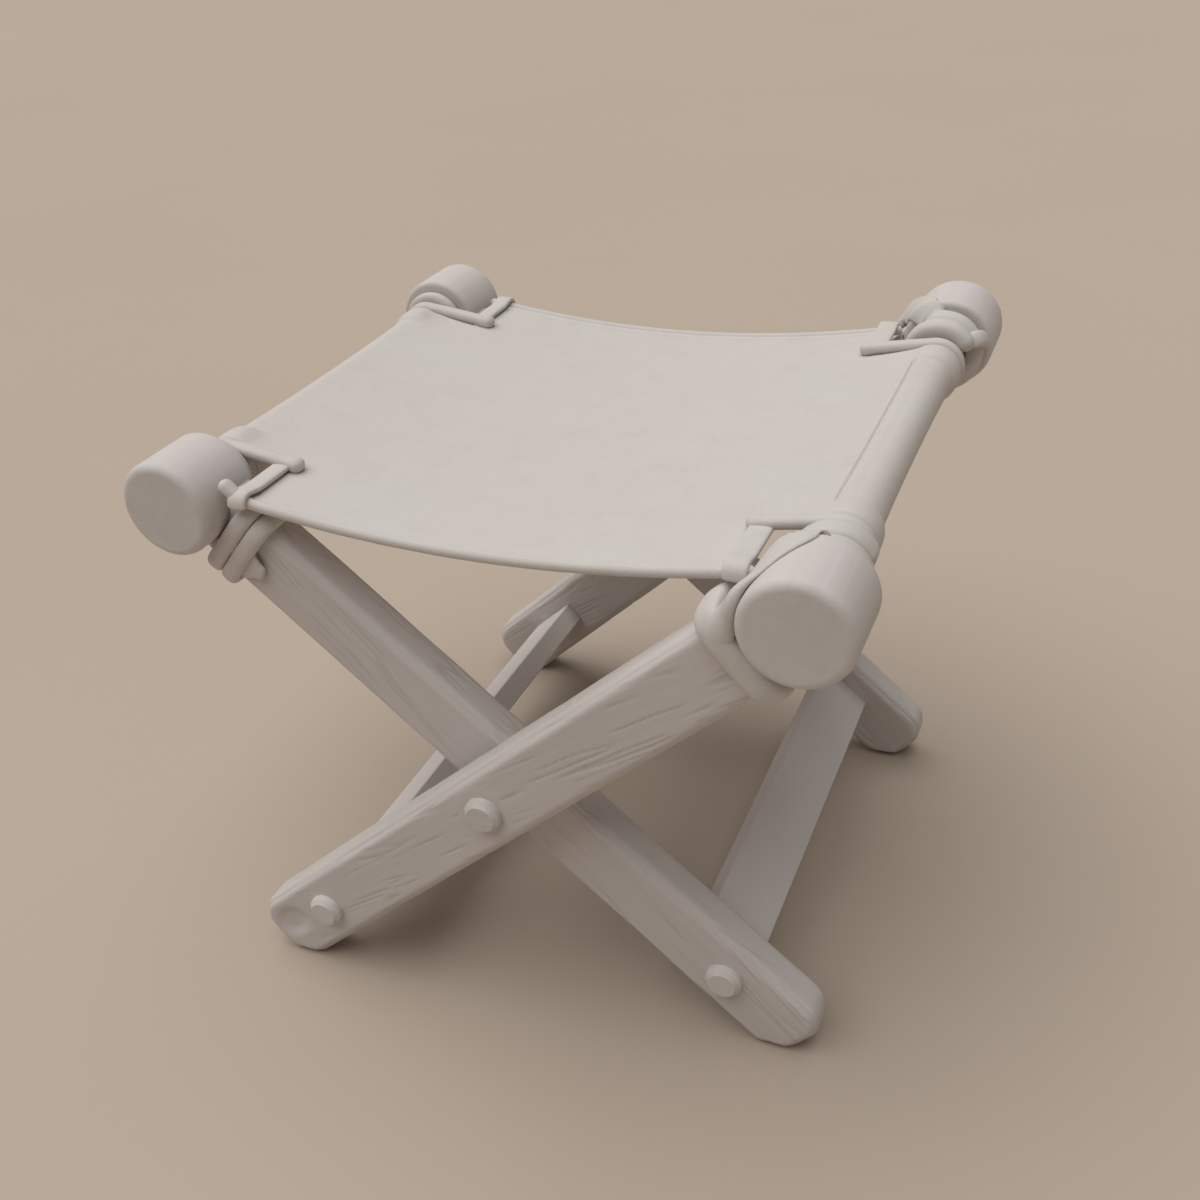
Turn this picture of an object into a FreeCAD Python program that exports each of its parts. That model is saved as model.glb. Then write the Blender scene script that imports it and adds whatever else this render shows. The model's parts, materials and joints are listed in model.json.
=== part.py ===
import FreeCAD, Part
import math
import os
import re

import Sketcher

# Folding stool: two crossed wooden frames on a pair of pivot pins, with a leather sling between their rails.
# X runs across the stool from the left rail to the right rail, Y from front to back, Z up from the floor.
# Frame A carries the left rail and the inner legs, frame B the right rail and the outer legs.

Vector = FreeCAD.Vector
document = FreeCAD.newDocument("folding_stool")
sheet = document.addObject("Spreadsheet::Sheet", "dims")

# Driving sizes in millimetres and degrees
SIZES = {
    "rail_spacing": 440,
    "rail_height": 393,
    "shaft_radius": 13,
    "neck_radius": 16,
    "knob_radius": 34.5,
    "knob_length": 56,
    "knob_end_round": 6,
    "knob_back_round": 4,
    "inner_overhang": 24,
    "outer_overhang": 20,
    "frame_depth": 452,
    "leg_thickness": 32,
    "leg_top_width": 54,
    "leg_foot_width": 62,
    "leg_edge_round": 8,
    "toe_rise": 10.3,
    "foot_round": 12,
    "toe_round": 22,
    "pivot_height": 198,
    "pin_radius": 7,
    "pin_play": 0.05,
    "head_radius": 13.5,
    "head_height": 7.5,
    "head_bevel": 3.5,
    "rove_radius": 11,
    "rove_thickness": 3.5,
    "rove_play": 0.3,
    "peen_height": 2.5,
    "washer_radius": 20,
    "washer_thickness": 0.8,
    "washer_play": 0.2,
    "peg_distance": 208,
    "peg_radius": 6.5,
    "peg_depth": 30,
    "stretcher_width": 50,
    "stretcher_thickness": 20,
    "stretcher_rise": 9,
    "stretcher_edge": 1.5,
    "tenon_radius": 9,
    "tenon_gap": 6,
    "tenon_pin_radius": 2.5,
    "tenon_pin_edge": 2.5,
    "tenon_pin_past": 4,
    "leather": 2.6,
    "leather_play": 0.3,
    "sag_angle": 13,
    "notch_width": 54,
    "hem_back": 30,
    "hem_radius": 3.5,
    "hem_stub": 14,
    "tie_radius": 3.7,
    "tie_corner": 9,
    "tie_wrap": 285,
    "lash_radius": 5,
    "lash_gap": 0.6,
    "lash_set": 5,
    "lash_turns": 2,
    "lash_lean_start": 66,
    "lash_rise_start": 55,
    "lash_rise_end": 118,
    "lash_drop_end": 168,
    "lash_wrap_end": 478,
    "tuck_start": 60,
    "tuck_wrap": 270,
}
for row, (alias, number) in enumerate(SIZES.items(), start=1):
    sheet.set("A%d" % row, alias)
    sheet.set("B%d" % row, str(number))
    sheet.setAlias("B%d" % row, alias)
document.recompute()

ALIAS = re.compile(r"\b(" + "|".join(SIZES) + r")\b")


def bound(text):
    """Expression text in which every size name points at its cell of the sheet."""
    return ALIAS.sub(r"dims.\1", text)


def value(text):
    """Number that an expression of size names gives now."""
    result = sheet.evalExpression(bound(text))
    return float(getattr(result, "Value", result))


# Lines that several pieces share
RAIL_X = "(rail_spacing / 2)"
RAIL_RISE = "(rail_height - pivot_height)"
SLOPE = "atan2(%s; %s)" % (RAIL_RISE, RAIL_X)
RAIL_REACH = "sqrt(%s ^ 2 + %s ^ 2)" % (RAIL_X, RAIL_RISE)
FOOT_REACH = "((pivot_height - toe_rise) / sin(%s))" % SLOPE
LEG_GAP = "(washer_thickness + washer_play)"
STRETCHER_PLACE = "(peg_distance - stretcher_rise)"
TENON_PIN_PLACE = "(neck_radius + tenon_pin_radius + tenon_pin_edge)"
SLEEVE_RADIUS = "(shaft_radius + leather_play + leather)"
SAG_REACH = "(rail_spacing / 2 / sin(sag_angle * 1 deg))"
SAG_RADIUS = "(%s - %s)" % (SAG_REACH, SLEEVE_RADIUS)
SAG_CENTRE = "(rail_height + %s * cos(sag_angle * 1 deg))" % SAG_REACH


class Frame:
    """One of the two crossed frames: its side of the stool and how far out its legs stand."""

    def __init__(self, letter, side, leg_face, overhang, rail_name, rail_side):
        self.letter = letter
        self.side = side
        self.leg_face = leg_face
        self.leg_middle = "(%s - leg_thickness / 2)" % leg_face
        self.leg_inside = "(%s - leg_thickness)" % leg_face
        self.rail_end = "(%s + %s)" % (leg_face, overhang)
        self.knob_back = "(%s - knob_length)" % self.rail_end
        self.pin_length = "(%s - %s + tenon_radius + tenon_pin_past)" % (self.leg_middle, self.knob_back)
        self.rail_name = rail_name
        self.rail_side = rail_side

    def on_leg(self, along, across):
        """X and Z of a point along the leg from the pivot to the rail, and across it towards the top."""
        x = "%d * ((%s) * cos(%s) - (%s) * sin(%s))" % (self.side, along, SLOPE, across, SLOPE)
        z = "pivot_height + (%s) * sin(%s) + (%s) * cos(%s)" % (along, SLOPE, across, SLOPE)
        return x, z


FRAME_B = Frame("b", 1, "(frame_depth / 2)", "outer_overhang", "rail_right", "right")
FRAME_A = Frame("a", -1, "(frame_depth / 2 - leg_thickness - %s)" % LEG_GAP, "inner_overhang",
                "rail_left", "left")
FRAMES = (FRAME_A, FRAME_B)
ENDS = {"front": -1, "back": 1}

# Places along the rails, from the inner frame's knob back to the sleeve, and across the sheet's corners
NECK_END = "(%s - 2 * lash_radius - 2 * leather_play)" % FRAME_A.knob_back
TIE_PLACE = "(%s - leather_play - tie_radius)" % NECK_END
SLEEVE_END = "(%s - tie_radius - leather_play)" % TIE_PLACE
TIE_INSET = "(notch_width - leather_play - tie_radius)"
HEM_PLACE = "(frame_depth / 2 - hem_back)"
HEM_END = "(notch_width - hem_stub)"
LASH_PLACE = "(knob_radius + leather_play + lash_radius + lash_set)"
LASH_PITCH = "(2 * lash_radius + lash_gap)"

# Lengths and direction errors below these count as nought
NEAR = 1e-6
STRAIGHT = 1e-9


# Sketches and features

def new_body(label):
    """Empty body that carries the name of its sub-part."""
    body = document.addObject("PartDesign::Body", label)
    body.Label = label
    return body


def new_sketch(body, name, role, lift="0"):
    """Sketch on one of the body's own origin planes, lifted along that plane's normal."""
    sketch = body.newObject("Sketcher::SketchObject", body.Name + "_" + name)
    plane = [item for item in body.Origin.OriginFeatures if item.Role == role][0]
    sketch.AttachmentSupport = [(plane, "")]
    sketch.MapMode = "FlatFace"
    sketch.setExpression("AttachmentOffset.Base.z", bound(lift))
    return sketch


def pin_point(sketch, geometry, position, spot):
    """Hold one point of a sketch at two coordinates bound to the sheet."""
    for kind, text in zip(("DistanceX", "DistanceY"), spot):
        constraint = Sketcher.Constraint(kind, -1, 1, geometry, position, value(text))
        index = sketch.addConstraint(constraint)
        sketch.setExpression("Constraints[%d]" % index, bound("(%s) * 1 mm" % text))


def draw_polygon(sketch, spots):
    """Closed outline through the given spots."""
    points = [Vector(value(x), value(y), 0) for x, y in spots]
    count = len(points)
    for index in range(count):
        sketch.addGeometry(Part.LineSegment(points[index], points[(index + 1) % count]), False)
    for index in range(count):
        sketch.addConstraint(Sketcher.Constraint("Coincident", index, 2, (index + 1) % count, 1))
    for index, spot in enumerate(spots):
        pin_point(sketch, index, 1, spot)


def draw_circle(sketch, spot, radius):
    """Circle about a spot."""
    centre = Vector(value(spot[0]), value(spot[1]), 0)
    index = sketch.addGeometry(Part.Circle(centre, Vector(0, 0, 1), value(radius)), False)
    constraint = sketch.addConstraint(Sketcher.Constraint("Radius", index, value(radius)))
    sketch.setExpression("Constraints[%d]" % constraint, bound("(%s) * 1 mm" % radius))
    pin_point(sketch, index, 3, spot)


def draw_axis(sketch, start, end):
    """Construction line to turn a profile about."""
    points = [Vector(value(x), value(y), 0) for x, y in (start, end)]
    index = sketch.addGeometry(Part.LineSegment(*points), True)
    pin_point(sketch, index, 1, start)
    pin_point(sketch, index, 2, end)


def pad(body, sketch, length):
    """Raise a sketch of the XZ plane towards the back."""
    feature = body.newObject("PartDesign::Pad", sketch.Name + "_pad")
    feature.Profile = sketch
    feature.setExpression("Length", bound(length))
    feature.Reversed = True
    document.recompute()
    return feature


def pocket(body, sketch, depth=None, backwards=True):
    """Cut a sketch out of the body, right through or to a depth, and see that it took something away."""
    before = body.Shape.Volume
    feature = body.newObject("PartDesign::Pocket", sketch.Name + "_pocket")
    feature.Profile = sketch
    if depth is None:
        feature.Type = "ThroughAll"
        feature.Midplane = True
    else:
        feature.setExpression("Length", bound(depth))
        feature.Reversed = not backwards
    document.recompute()
    assert body.Shape.Volume < before, sketch.Name
    return feature


def turn(body, sketch, axis, kind="PartDesign::Revolution"):
    """Turn a profile a full round about an axis of its sketch, to add it or to cut it away."""
    feature = body.newObject(kind, sketch.Name + "_turn")
    feature.Profile = sketch
    feature.ReferenceAxis = (sketch, [axis])
    feature.Angle = 360
    document.recompute()
    return feature


def round_edges(body, base, radius, wanted):
    """Round the edges of a feature that a test picks."""
    names = ["Edge%d" % (i + 1) for i, edge in enumerate(base.Shape.Edges) if wanted(edge)]
    feature = body.newObject("PartDesign::Fillet", base.Name + "_round")
    feature.Base = (base, names)
    feature.setExpression("Radius", bound(radius))
    document.recompute()
    return feature


def place(body, x="0", y="0", z="0", turned=False):
    """Put a sub-part at a place bound to the sheet, turned half round about Z if asked."""
    if turned:
        body.Placement = FreeCAD.Placement(Vector(), FreeCAD.Rotation(Vector(0, 0, 1), 180))
    for axis, text in zip("xyz", (x, y, z)):
        body.setExpression("Placement.Base." + axis, bound(text))


def at_end(sign, low, high):
    """Y of the front face of a piece that lies between two distances from the middle, at one end."""
    return "-(%s)" % high if sign < 0 else low


# Wooden pieces

def make_rail(frame):
    """Turned rail: a shaft for the leather sleeve, a thicker neck, and a knob bored for the leg's tenon."""
    body = new_body(frame.rail_name)
    profile = new_sketch(body, "profile", "XY_Plane")
    half = [("knob_radius", frame.rail_end), ("knob_radius", frame.knob_back),
            ("neck_radius", frame.knob_back), ("neck_radius", NECK_END), ("shaft_radius", NECK_END)]
    front = [(radius, "-" + y) for radius, y in half]
    draw_polygon(profile, [("0", "-" + frame.rail_end)] + front + half[::-1] + [("0", frame.rail_end)])
    solid = turn(body, profile, "V_Axis")
    knob = value("knob_radius")
    outer = value(frame.rail_end)

    def is_rim(edge, at_outer_end):
        box = edge.BoundBox
        flat = abs(box.YLength) < NEAR and abs(box.XLength - 2 * knob) < NEAR
        return flat and (abs(abs(box.Center.y) - outer) < NEAR) == at_outer_end

    solid = round_edges(body, solid, "knob_end_round", lambda edge: is_rim(edge, True))
    round_edges(body, solid, "knob_back_round", lambda edge: is_rim(edge, False))
    inward = ("%d * cos(%s)" % (-frame.side, SLOPE), "-1 * sin(%s)" % SLOPE)

    def towards_leg(along, across):
        x = "(%s) * (%s) + (%s) * %d * sin(%s)" % (along, inward[0], across, -frame.side, SLOPE)
        z = "(%s) * (%s) + (%s) * cos(%s)" % (along, inward[1], across, SLOPE)
        return x, z

    for end, sign in ENDS.items():
        bore = new_sketch(body, "bore_" + end, "XZ_Plane", "%d * %s" % (-sign, frame.leg_middle))
        mouth = "knob_radius + tenon_radius"
        bottom = "tenon_gap - leather_play"
        draw_polygon(bore, [towards_leg(bottom, "0"), towards_leg(mouth, "0"),
                            towards_leg(mouth, "tenon_radius"), towards_leg(bottom, "tenon_radius")])
        draw_axis(bore, towards_leg(bottom, "0"), towards_leg(mouth, "0"))
        before = body.Shape.Volume
        turn(body, bore, "Axis0", "PartDesign::Groove")
        assert body.Shape.Volume < before
        hole = new_sketch(body, "pin_hole_" + end, "XZ_Plane", "%d * %s" % (-sign, frame.knob_back))
        draw_circle(hole, towards_leg(TENON_PIN_PLACE, "0"), "tenon_pin_radius")
        pocket(body, hole, frame.pin_length, sign > 0)
    place(body, "%d * %s" % (frame.side, RAIL_X), "0", "rail_height")


def make_leg(frame, end, sign):
    """Slanted leg: broad and round-edged, flat on the floor, hollowed to the knob, with a round tenon."""
    body = new_body("leg_%s_%s" % (frame.letter, end))
    outline = new_sketch(body, "outline", "XZ_Plane")
    top, foot = RAIL_REACH, "-" + FOOT_REACH
    draw_polygon(outline, [
        frame.on_leg(top, "leg_top_width / 2"), frame.on_leg(foot, "leg_foot_width / 2"),
        frame.on_leg(foot, "-leg_foot_width / 2"), frame.on_leg(top, "-leg_top_width / 2"),
    ])
    pad(body, outline, "leg_thickness")
    sole = new_sketch(body, "sole", "XZ_Plane")
    beyond = "(%s + leg_foot_width)" % FOOT_REACH
    draw_polygon(sole, [("-" + beyond, "0"), (beyond, "0"),
                        (beyond, "-" + beyond), ("-" + beyond, "-" + beyond)])
    trimmed = pocket(body, sole)
    top_z = value("rail_height - knob_radius * 2")

    def is_foot_corner(edge, is_toe):
        box = edge.BoundBox
        crosswise = box.YLength > NEAR and box.XLength < NEAR and box.ZLength < NEAR
        return crosswise and box.Center.z < top_z and (box.Center.z > value("toe_rise")) == is_toe

    def is_long_edge(edge):
        return edge.BoundBox.YLength < NEAR and edge.BoundBox.ZMin < top_z

    rounded = round_edges(body, trimmed, "toe_round", lambda edge: is_foot_corner(edge, True))
    rounded = round_edges(body, rounded, "foot_round", lambda edge: is_foot_corner(edge, False))
    round_edges(body, rounded, "leg_edge_round", is_long_edge)
    holes = new_sketch(body, "holes", "XZ_Plane")
    play = "pin_radius + pin_play" if frame is FRAME_A else "pin_radius"
    draw_circle(holes, ("0", "pivot_height"), play)
    draw_circle(holes, frame.on_leg("-peg_distance", "0"), "peg_radius")
    pocket(body, holes)
    cope = new_sketch(body, "cope", "XZ_Plane")
    draw_circle(cope, ("%d * %s" % (frame.side, RAIL_X), "rail_height"), "knob_radius")
    pocket(body, cope)
    tenon = new_sketch(body, "tenon", "XZ_Plane", "-leg_thickness / 2")
    root = "%s - knob_radius - tenon_radius" % RAIL_REACH
    tip = "%s - tenon_gap" % RAIL_REACH
    draw_polygon(tenon, [frame.on_leg(root, "0"), frame.on_leg(tip, "0"),
                         frame.on_leg(tip, "tenon_radius"), frame.on_leg(root, "tenon_radius")])
    draw_axis(tenon, frame.on_leg(root, "0"), frame.on_leg(tip, "0"))
    turn(body, tenon, "Axis0")
    cross = new_sketch(body, "pin_hole", "XZ_Plane")
    draw_circle(cross, frame.on_leg("%s - %s" % (RAIL_REACH, TENON_PIN_PLACE), "0"), "tenon_pin_radius")
    pocket(body, cross)
    place(body, y=at_end(sign, frame.leg_inside, frame.leg_face))


def make_stretcher(frame):
    """Flat bar between the two legs of a frame, bored at both ends for the pegs."""
    body = new_body("stretcher_" + frame.letter)
    section = new_sketch(body, "section", "XZ_Plane")
    low = "-(%s + stretcher_width / 2)" % STRETCHER_PLACE
    high = "-(%s - stretcher_width / 2)" % STRETCHER_PLACE
    half = "stretcher_thickness / 2"
    draw_polygon(section, [frame.on_leg(low, "-" + half), frame.on_leg(high, "-" + half),
                           frame.on_leg(high, half), frame.on_leg(low, half)])
    bar = pad(body, section, "2 * " + frame.leg_inside)
    round_edges(body, bar, "stretcher_edge", lambda edge: edge.BoundBox.YLength > value("stretcher_width"))
    for end, lift in (("front", "0"), ("back", "-2 * " + frame.leg_inside)):
        bore = new_sketch(body, "bore_" + end, "XZ_Plane", lift)
        draw_circle(bore, frame.on_leg("-peg_distance", "0"), "peg_radius")
        pocket(body, bore, "peg_depth", end == "front")
    place(body, y="-" + frame.leg_inside)


# Pins, pegs and rings, all turned about their own Y axis

def make_turned(label, profile_points, x, y, z, turned):
    """Solid of revolution about Y from a half profile of radius and length."""
    body = new_body(label)
    profile = new_sketch(body, "profile", "XY_Plane")
    draw_polygon(profile, profile_points)
    turn(body, profile, "V_Axis")
    place(body, x, y, z, turned)


def headed_shank(radius, length):
    """Half profile of a pin: a bevelled head in front of Y zero and a shank behind it."""
    return [("0", "-head_height"), ("head_radius - head_bevel", "-head_height"),
            ("head_radius", "-head_height + head_bevel"), ("head_radius", "0"),
            (radius, "0"), (radius, length), ("0", length)]


def make_peg(frame, end, sign):
    """Headed peg through the leg into the stretcher."""
    x, z = frame.on_leg("-peg_distance", "0")
    make_turned("peg_%s_%s" % (frame.letter, end), headed_shank("peg_radius", "leg_thickness + peg_depth"),
                x, "%d * %s" % (sign, frame.leg_face), z, sign > 0)


def make_tenon_pin(frame, end, sign):
    """Hidden pin from the back of the knob across the leg's tenon."""
    x, z = frame.on_leg("%s - %s" % (RAIL_REACH, TENON_PIN_PLACE), "0")
    tip = "-" + frame.pin_length
    profile = [("0", "0"), ("tenon_pin_radius", "0"), ("tenon_pin_radius", tip), ("0", tip)]
    make_turned("tenon_pin_%s_%s" % (frame.letter, end), profile,
                x, "%d * %s" % (sign, frame.knob_back), z, sign > 0)


def make_pivot(end, sign):
    """Pivot pin through both legs, the washer between them, and the rove under its peened inner end."""
    outer = "%d * %s" % (sign, FRAME_B.leg_face)
    through = "(2 * leg_thickness + %s + rove_play)" % LEG_GAP
    rove_end = through + " + rove_thickness"
    shank = headed_shank("pin_radius", rove_end)
    tip = rove_end + " + peen_height"
    peen = [("pin_radius + peen_height / 2", rove_end), ("pin_radius - peen_height / 2", tip)]
    make_turned("pivot_pin_" + end, shank[:-1] + peen + [("0", tip)], "0", outer, "pivot_height", sign > 0)
    make_turned("pivot_rove_" + end, [("pin_radius", through), ("rove_radius", through),
                                      ("rove_radius", rove_end), ("pin_radius", rove_end)],
                "0", outer, "pivot_height", sign > 0)
    face = "(leg_thickness + %s)" % LEG_GAP
    inner = "(leg_thickness + washer_play)"
    bore = "pin_radius + pin_play"
    make_turned("pivot_washer_" + end, [(bore, inner), ("washer_radius", inner),
                                        ("washer_radius", face), (bore, face)],
                "0", outer, "pivot_height", sign > 0)


# Leather sling

def new_part(kind, name, **bindings):
    """Part primitive or boolean with its sizes bound to the sheet."""
    item = document.addObject(kind, name)
    for size, text in bindings.items():
        item.setExpression(size, bound(text))
    return item


def lying_cylinder(name, radius, half_length, x, z):
    """Cylinder along Y, centred on the middle of the stool."""
    item = new_part("Part::Cylinder", name, Radius=radius, Height="2 * (%s)" % half_length)
    item.Placement = FreeCAD.Placement(Vector(), FreeCAD.Rotation(Vector(1, 0, 0), -90))
    place(item, x, "-(%s)" % half_length, z)
    return item


def centred_box(name, x, y, z, size_x, size_y, size_z):
    """Box by its middle in X and Y and its foot in Z."""
    item = new_part("Part::Box", name, Length=size_x, Width=size_y, Height=size_z)
    place(item, "%s - (%s) / 2" % (x, size_x), "%s - (%s) / 2" % (y, size_y), z)
    return item


def cut(name, base, tool):
    """One solid less another."""
    item = document.addObject("Part::Cut", name)
    item.Base = base
    item.Tool = tool
    return item


def fuse(name, pieces):
    """Several solids made one."""
    item = document.addObject("Part::MultiFuse", name)
    item.Shapes = pieces
    return item


def make_seat():
    """Sagging sheet with a sleeve round each rail, notched corners, and a rolled hem front and back."""
    outside = lying_cylinder("sag_outside", SAG_RADIUS + " + leather", HEM_PLACE, "0", SAG_CENTRE)
    inside = lying_cylinder("sag_inside", SAG_RADIUS, HEM_PLACE, "0", SAG_CENTRE)
    shell = cut("sag_shell", outside, inside)
    span = "2 * (rail_spacing / 2 - %s * sin(sag_angle * 1 deg))" % SLEEVE_RADIUS
    window = centred_box("sag_window", "0", "0", "rail_height - rail_spacing / 2", span, "2 * " + HEM_PLACE,
                         "rail_spacing / 2 + knob_radius")
    panel = document.addObject("Part::Common", "sag_panel")
    panel.Base = shell
    panel.Tool = window
    notches = []
    for frame in FRAMES:
        for end, sign in ENDS.items():
            depth = "2 * (%s - %s)" % (HEM_PLACE, SLEEVE_END)
            notches.append(centred_box(
                "notch_%s_%s" % (end, frame.rail_side), "%d * %s" % (frame.side, RAIL_X),
                "%d * %s" % (sign, HEM_PLACE), "rail_height - rail_spacing / 4",
                "2 * notch_width", depth, "rail_spacing / 2"))
    trimmed = cut("sag_trimmed", panel, fuse("sag_notches", notches))
    sleeves = [lying_cylinder("sleeve_skin_" + frame.rail_side, SLEEVE_RADIUS, SLEEVE_END,
                              "%d * %s" % (frame.side, RAIL_X), "rail_height") for frame in FRAMES]
    bores = [lying_cylinder("sleeve_bore_" + frame.rail_side, "shaft_radius + leather_play", HEM_PLACE,
                            "%d * %s" % (frame.side, RAIL_X), "rail_height") for frame in FRAMES]
    hem_window = centred_box("hem_window", "0", "0", "rail_height - rail_spacing / 2",
                             "rail_spacing - 2 * " + HEM_END, "2 * (%s + 2 * hem_radius)" % HEM_PLACE,
                             "rail_spacing / 2 + knob_radius")
    rings = []
    for end, sign in ENDS.items():
        ring = new_part("Part::Torus", "hem_" + end,
                        Radius1=SAG_RADIUS + " + leather / 2", Radius2="hem_radius")
        ring.Placement = FreeCAD.Placement(Vector(), FreeCAD.Rotation(Vector(1, 0, 0), -90))
        place(ring, "0", "%d * %s" % (sign, HEM_PLACE), SAG_CENTRE)
        rings.append(ring)
    hems = document.addObject("Part::Common", "hems")
    hems.Base = hem_window
    hems.Tool = fuse("hem_rings", rings)
    whole = fuse("seat_whole", [trimmed, hems] + sleeves)
    seat = cut("seat_sling", whole, fuse("seat_bores", bores))
    seat.Label = "seat_sling"


# Wound straps

def biarc(start, start_way, end, end_way):
    """Two arcs, or lines where they are straight, that join two points along two directions."""
    across = end - start
    ways = start_way + end_way
    spread = 2 * (1 - start_way.dot(end_way))
    reach = across.dot(ways)
    if spread < STRAIGHT:
        side = across.dot(end_way)
        step = across.dot(across) / (4 * side)
    else:
        step = (math.sqrt(reach ** 2 + spread * across.dot(across)) - reach) / spread
    middle = (start + end + (start_way - end_way) * step) * 0.5
    turned_end = end_way * -1
    return [arc_from(start, start_way, middle), reversed_arc(end, turned_end, middle)]


def arc_middle(start, way, end):
    """Middle of the arc that leaves a point in a direction and ends at another, or None if it is straight."""
    chord = end - start
    length = chord.Length
    sideways = way - chord * (way.dot(chord) / length ** 2)
    if sideways.Length < NEAR:
        return None
    half_turn = math.atan2(sideways.Length, way.dot(chord) / length)
    bulge = length / 2 * math.tan(half_turn / 2)
    return start + chord * 0.5 + sideways.normalize() * bulge


def arc_from(start, way, end):
    """Edge of the arc, or line, that leaves a point in a direction."""
    middle = arc_middle(start, way, end)
    if middle is None:
        return Part.LineSegment(start, end).toShape()
    return Part.Arc(start, middle, end).toShape()


def reversed_arc(end, way, start):
    """Edge of the arc, or line, that arrives at a point against a direction."""
    middle = arc_middle(end, way, start)
    if middle is None:
        return Part.LineSegment(start, end).toShape()
    return Part.Arc(start, middle, end).toShape()


def point_along(edge, share):
    """Point at a share of an edge's parameter range."""
    return edge.valueAt(edge.FirstParameter + share * (edge.LastParameter - edge.FirstParameter))


def least_gap(edges, radius):
    """Least gap of a tube to itself, measured on points that lie some widths apart along its path."""
    points = []
    travelled = 0.0
    for edge in edges:
        count = max(2, math.ceil(edge.Length / radius))
        points += [(travelled + edge.Length * k / count, point_along(edge, k / count)) for k in range(count)]
        travelled += edge.Length
    apart = 5 * radius
    gaps = [(here - there).Length
            for along, here in points for other, there in points if other - along > apart]
    return min(gaps) - 2 * radius


def make_tube(label, stations, radius):
    """One unbroken tube through stations of a point and a direction."""
    edges = []
    for (start, start_way), (end, end_way) in zip(stations, stations[1:]):
        edges += biarc(start, start_way.normalize(), end, end_way.normalize())
    path = Part.Wire(edges)
    ring = Part.Circle(stations[0][0], stations[0][1], radius).toShape()
    shell = Part.BRepOffsetAPI.MakePipeShell(path)
    shell.add(Part.Wire([ring]))
    shell.build()
    shell.makeSolid()
    item = document.addObject("Part::Feature", label)
    item.Label = label
    item.Shape = shell.shape()
    full = math.pi * radius ** 2 * path.Length
    print("%s: length %.1f, volume share %.4f, least gap to itself %.2f"
          % (label, path.Length, item.Shape.Volume / full, least_gap(edges, radius)))


def corner_point(frame, sign):
    """Function that turns inward, outward and upward distances at one corner into a point or a direction."""
    rail = value(RAIL_X)
    height = value("rail_height")

    def point(inward, outward, up):
        return Vector(frame.side * (rail - inward), sign * outward, height + up)

    def way(inward, outward, up):
        return Vector(-frame.side * inward, sign * outward, up)

    return point, way


def make_tie(frame, end, sign):
    """Corner tie: hooked over the hem, along the sheet's notch, out to the rail and round it."""
    point, way = corner_point(frame, sign)
    radius = value("tie_radius")
    inset = value(TIE_INSET)
    across = value(RAIL_X) - inset
    sag_radius = value(SAG_RADIUS)
    top = value(SAG_CENTRE) - math.sqrt(sag_radius ** 2 - across ** 2) - value("rail_height")
    hem = top - value("leather") / 2
    hook = value("hem_radius + leather_play") + radius
    hem_y = value(HEM_PLACE)
    tie_y = value(TIE_PLACE)
    bar = top + value("leather_play") + radius
    corner = value("tie_corner")
    ring = value("shaft_radius + leather_play") + radius
    away = math.hypot(inset, bar)
    leave = math.atan2(bar, inset) + math.acos(ring / away)
    out = (-math.sin(leave), math.cos(leave))
    stations = [
        (point(inset, hem_y + hook, hem), way(0, 0, 1)),
        (point(inset, hem_y, hem + hook), way(0, -1, 0)),
        (point(inset, hem_y - 2 * hook, bar), way(0, -1, 0)),
        (point(inset, tie_y + corner, bar), way(0, -1, 0)),
        (point(inset + corner * out[0], tie_y, bar + corner * out[1]), way(out[0], 0, out[1])),
    ]
    quarters = 4
    for step in range(quarters + 1):
        angle = leave + math.radians(value("tie_wrap")) * step / quarters
        stations.append((point(ring * math.cos(angle), tie_y, ring * math.sin(angle)),
                         way(-math.sin(angle), 0, math.cos(angle))))
    make_tube("tie_%s_%s" % (end, frame.rail_side), stations, radius)


def smooth(share):
    """Even start and stop between nought and one."""
    share = min(max(share, 0.0), 1.0)
    return share * share * (3 - 2 * share)


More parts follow.
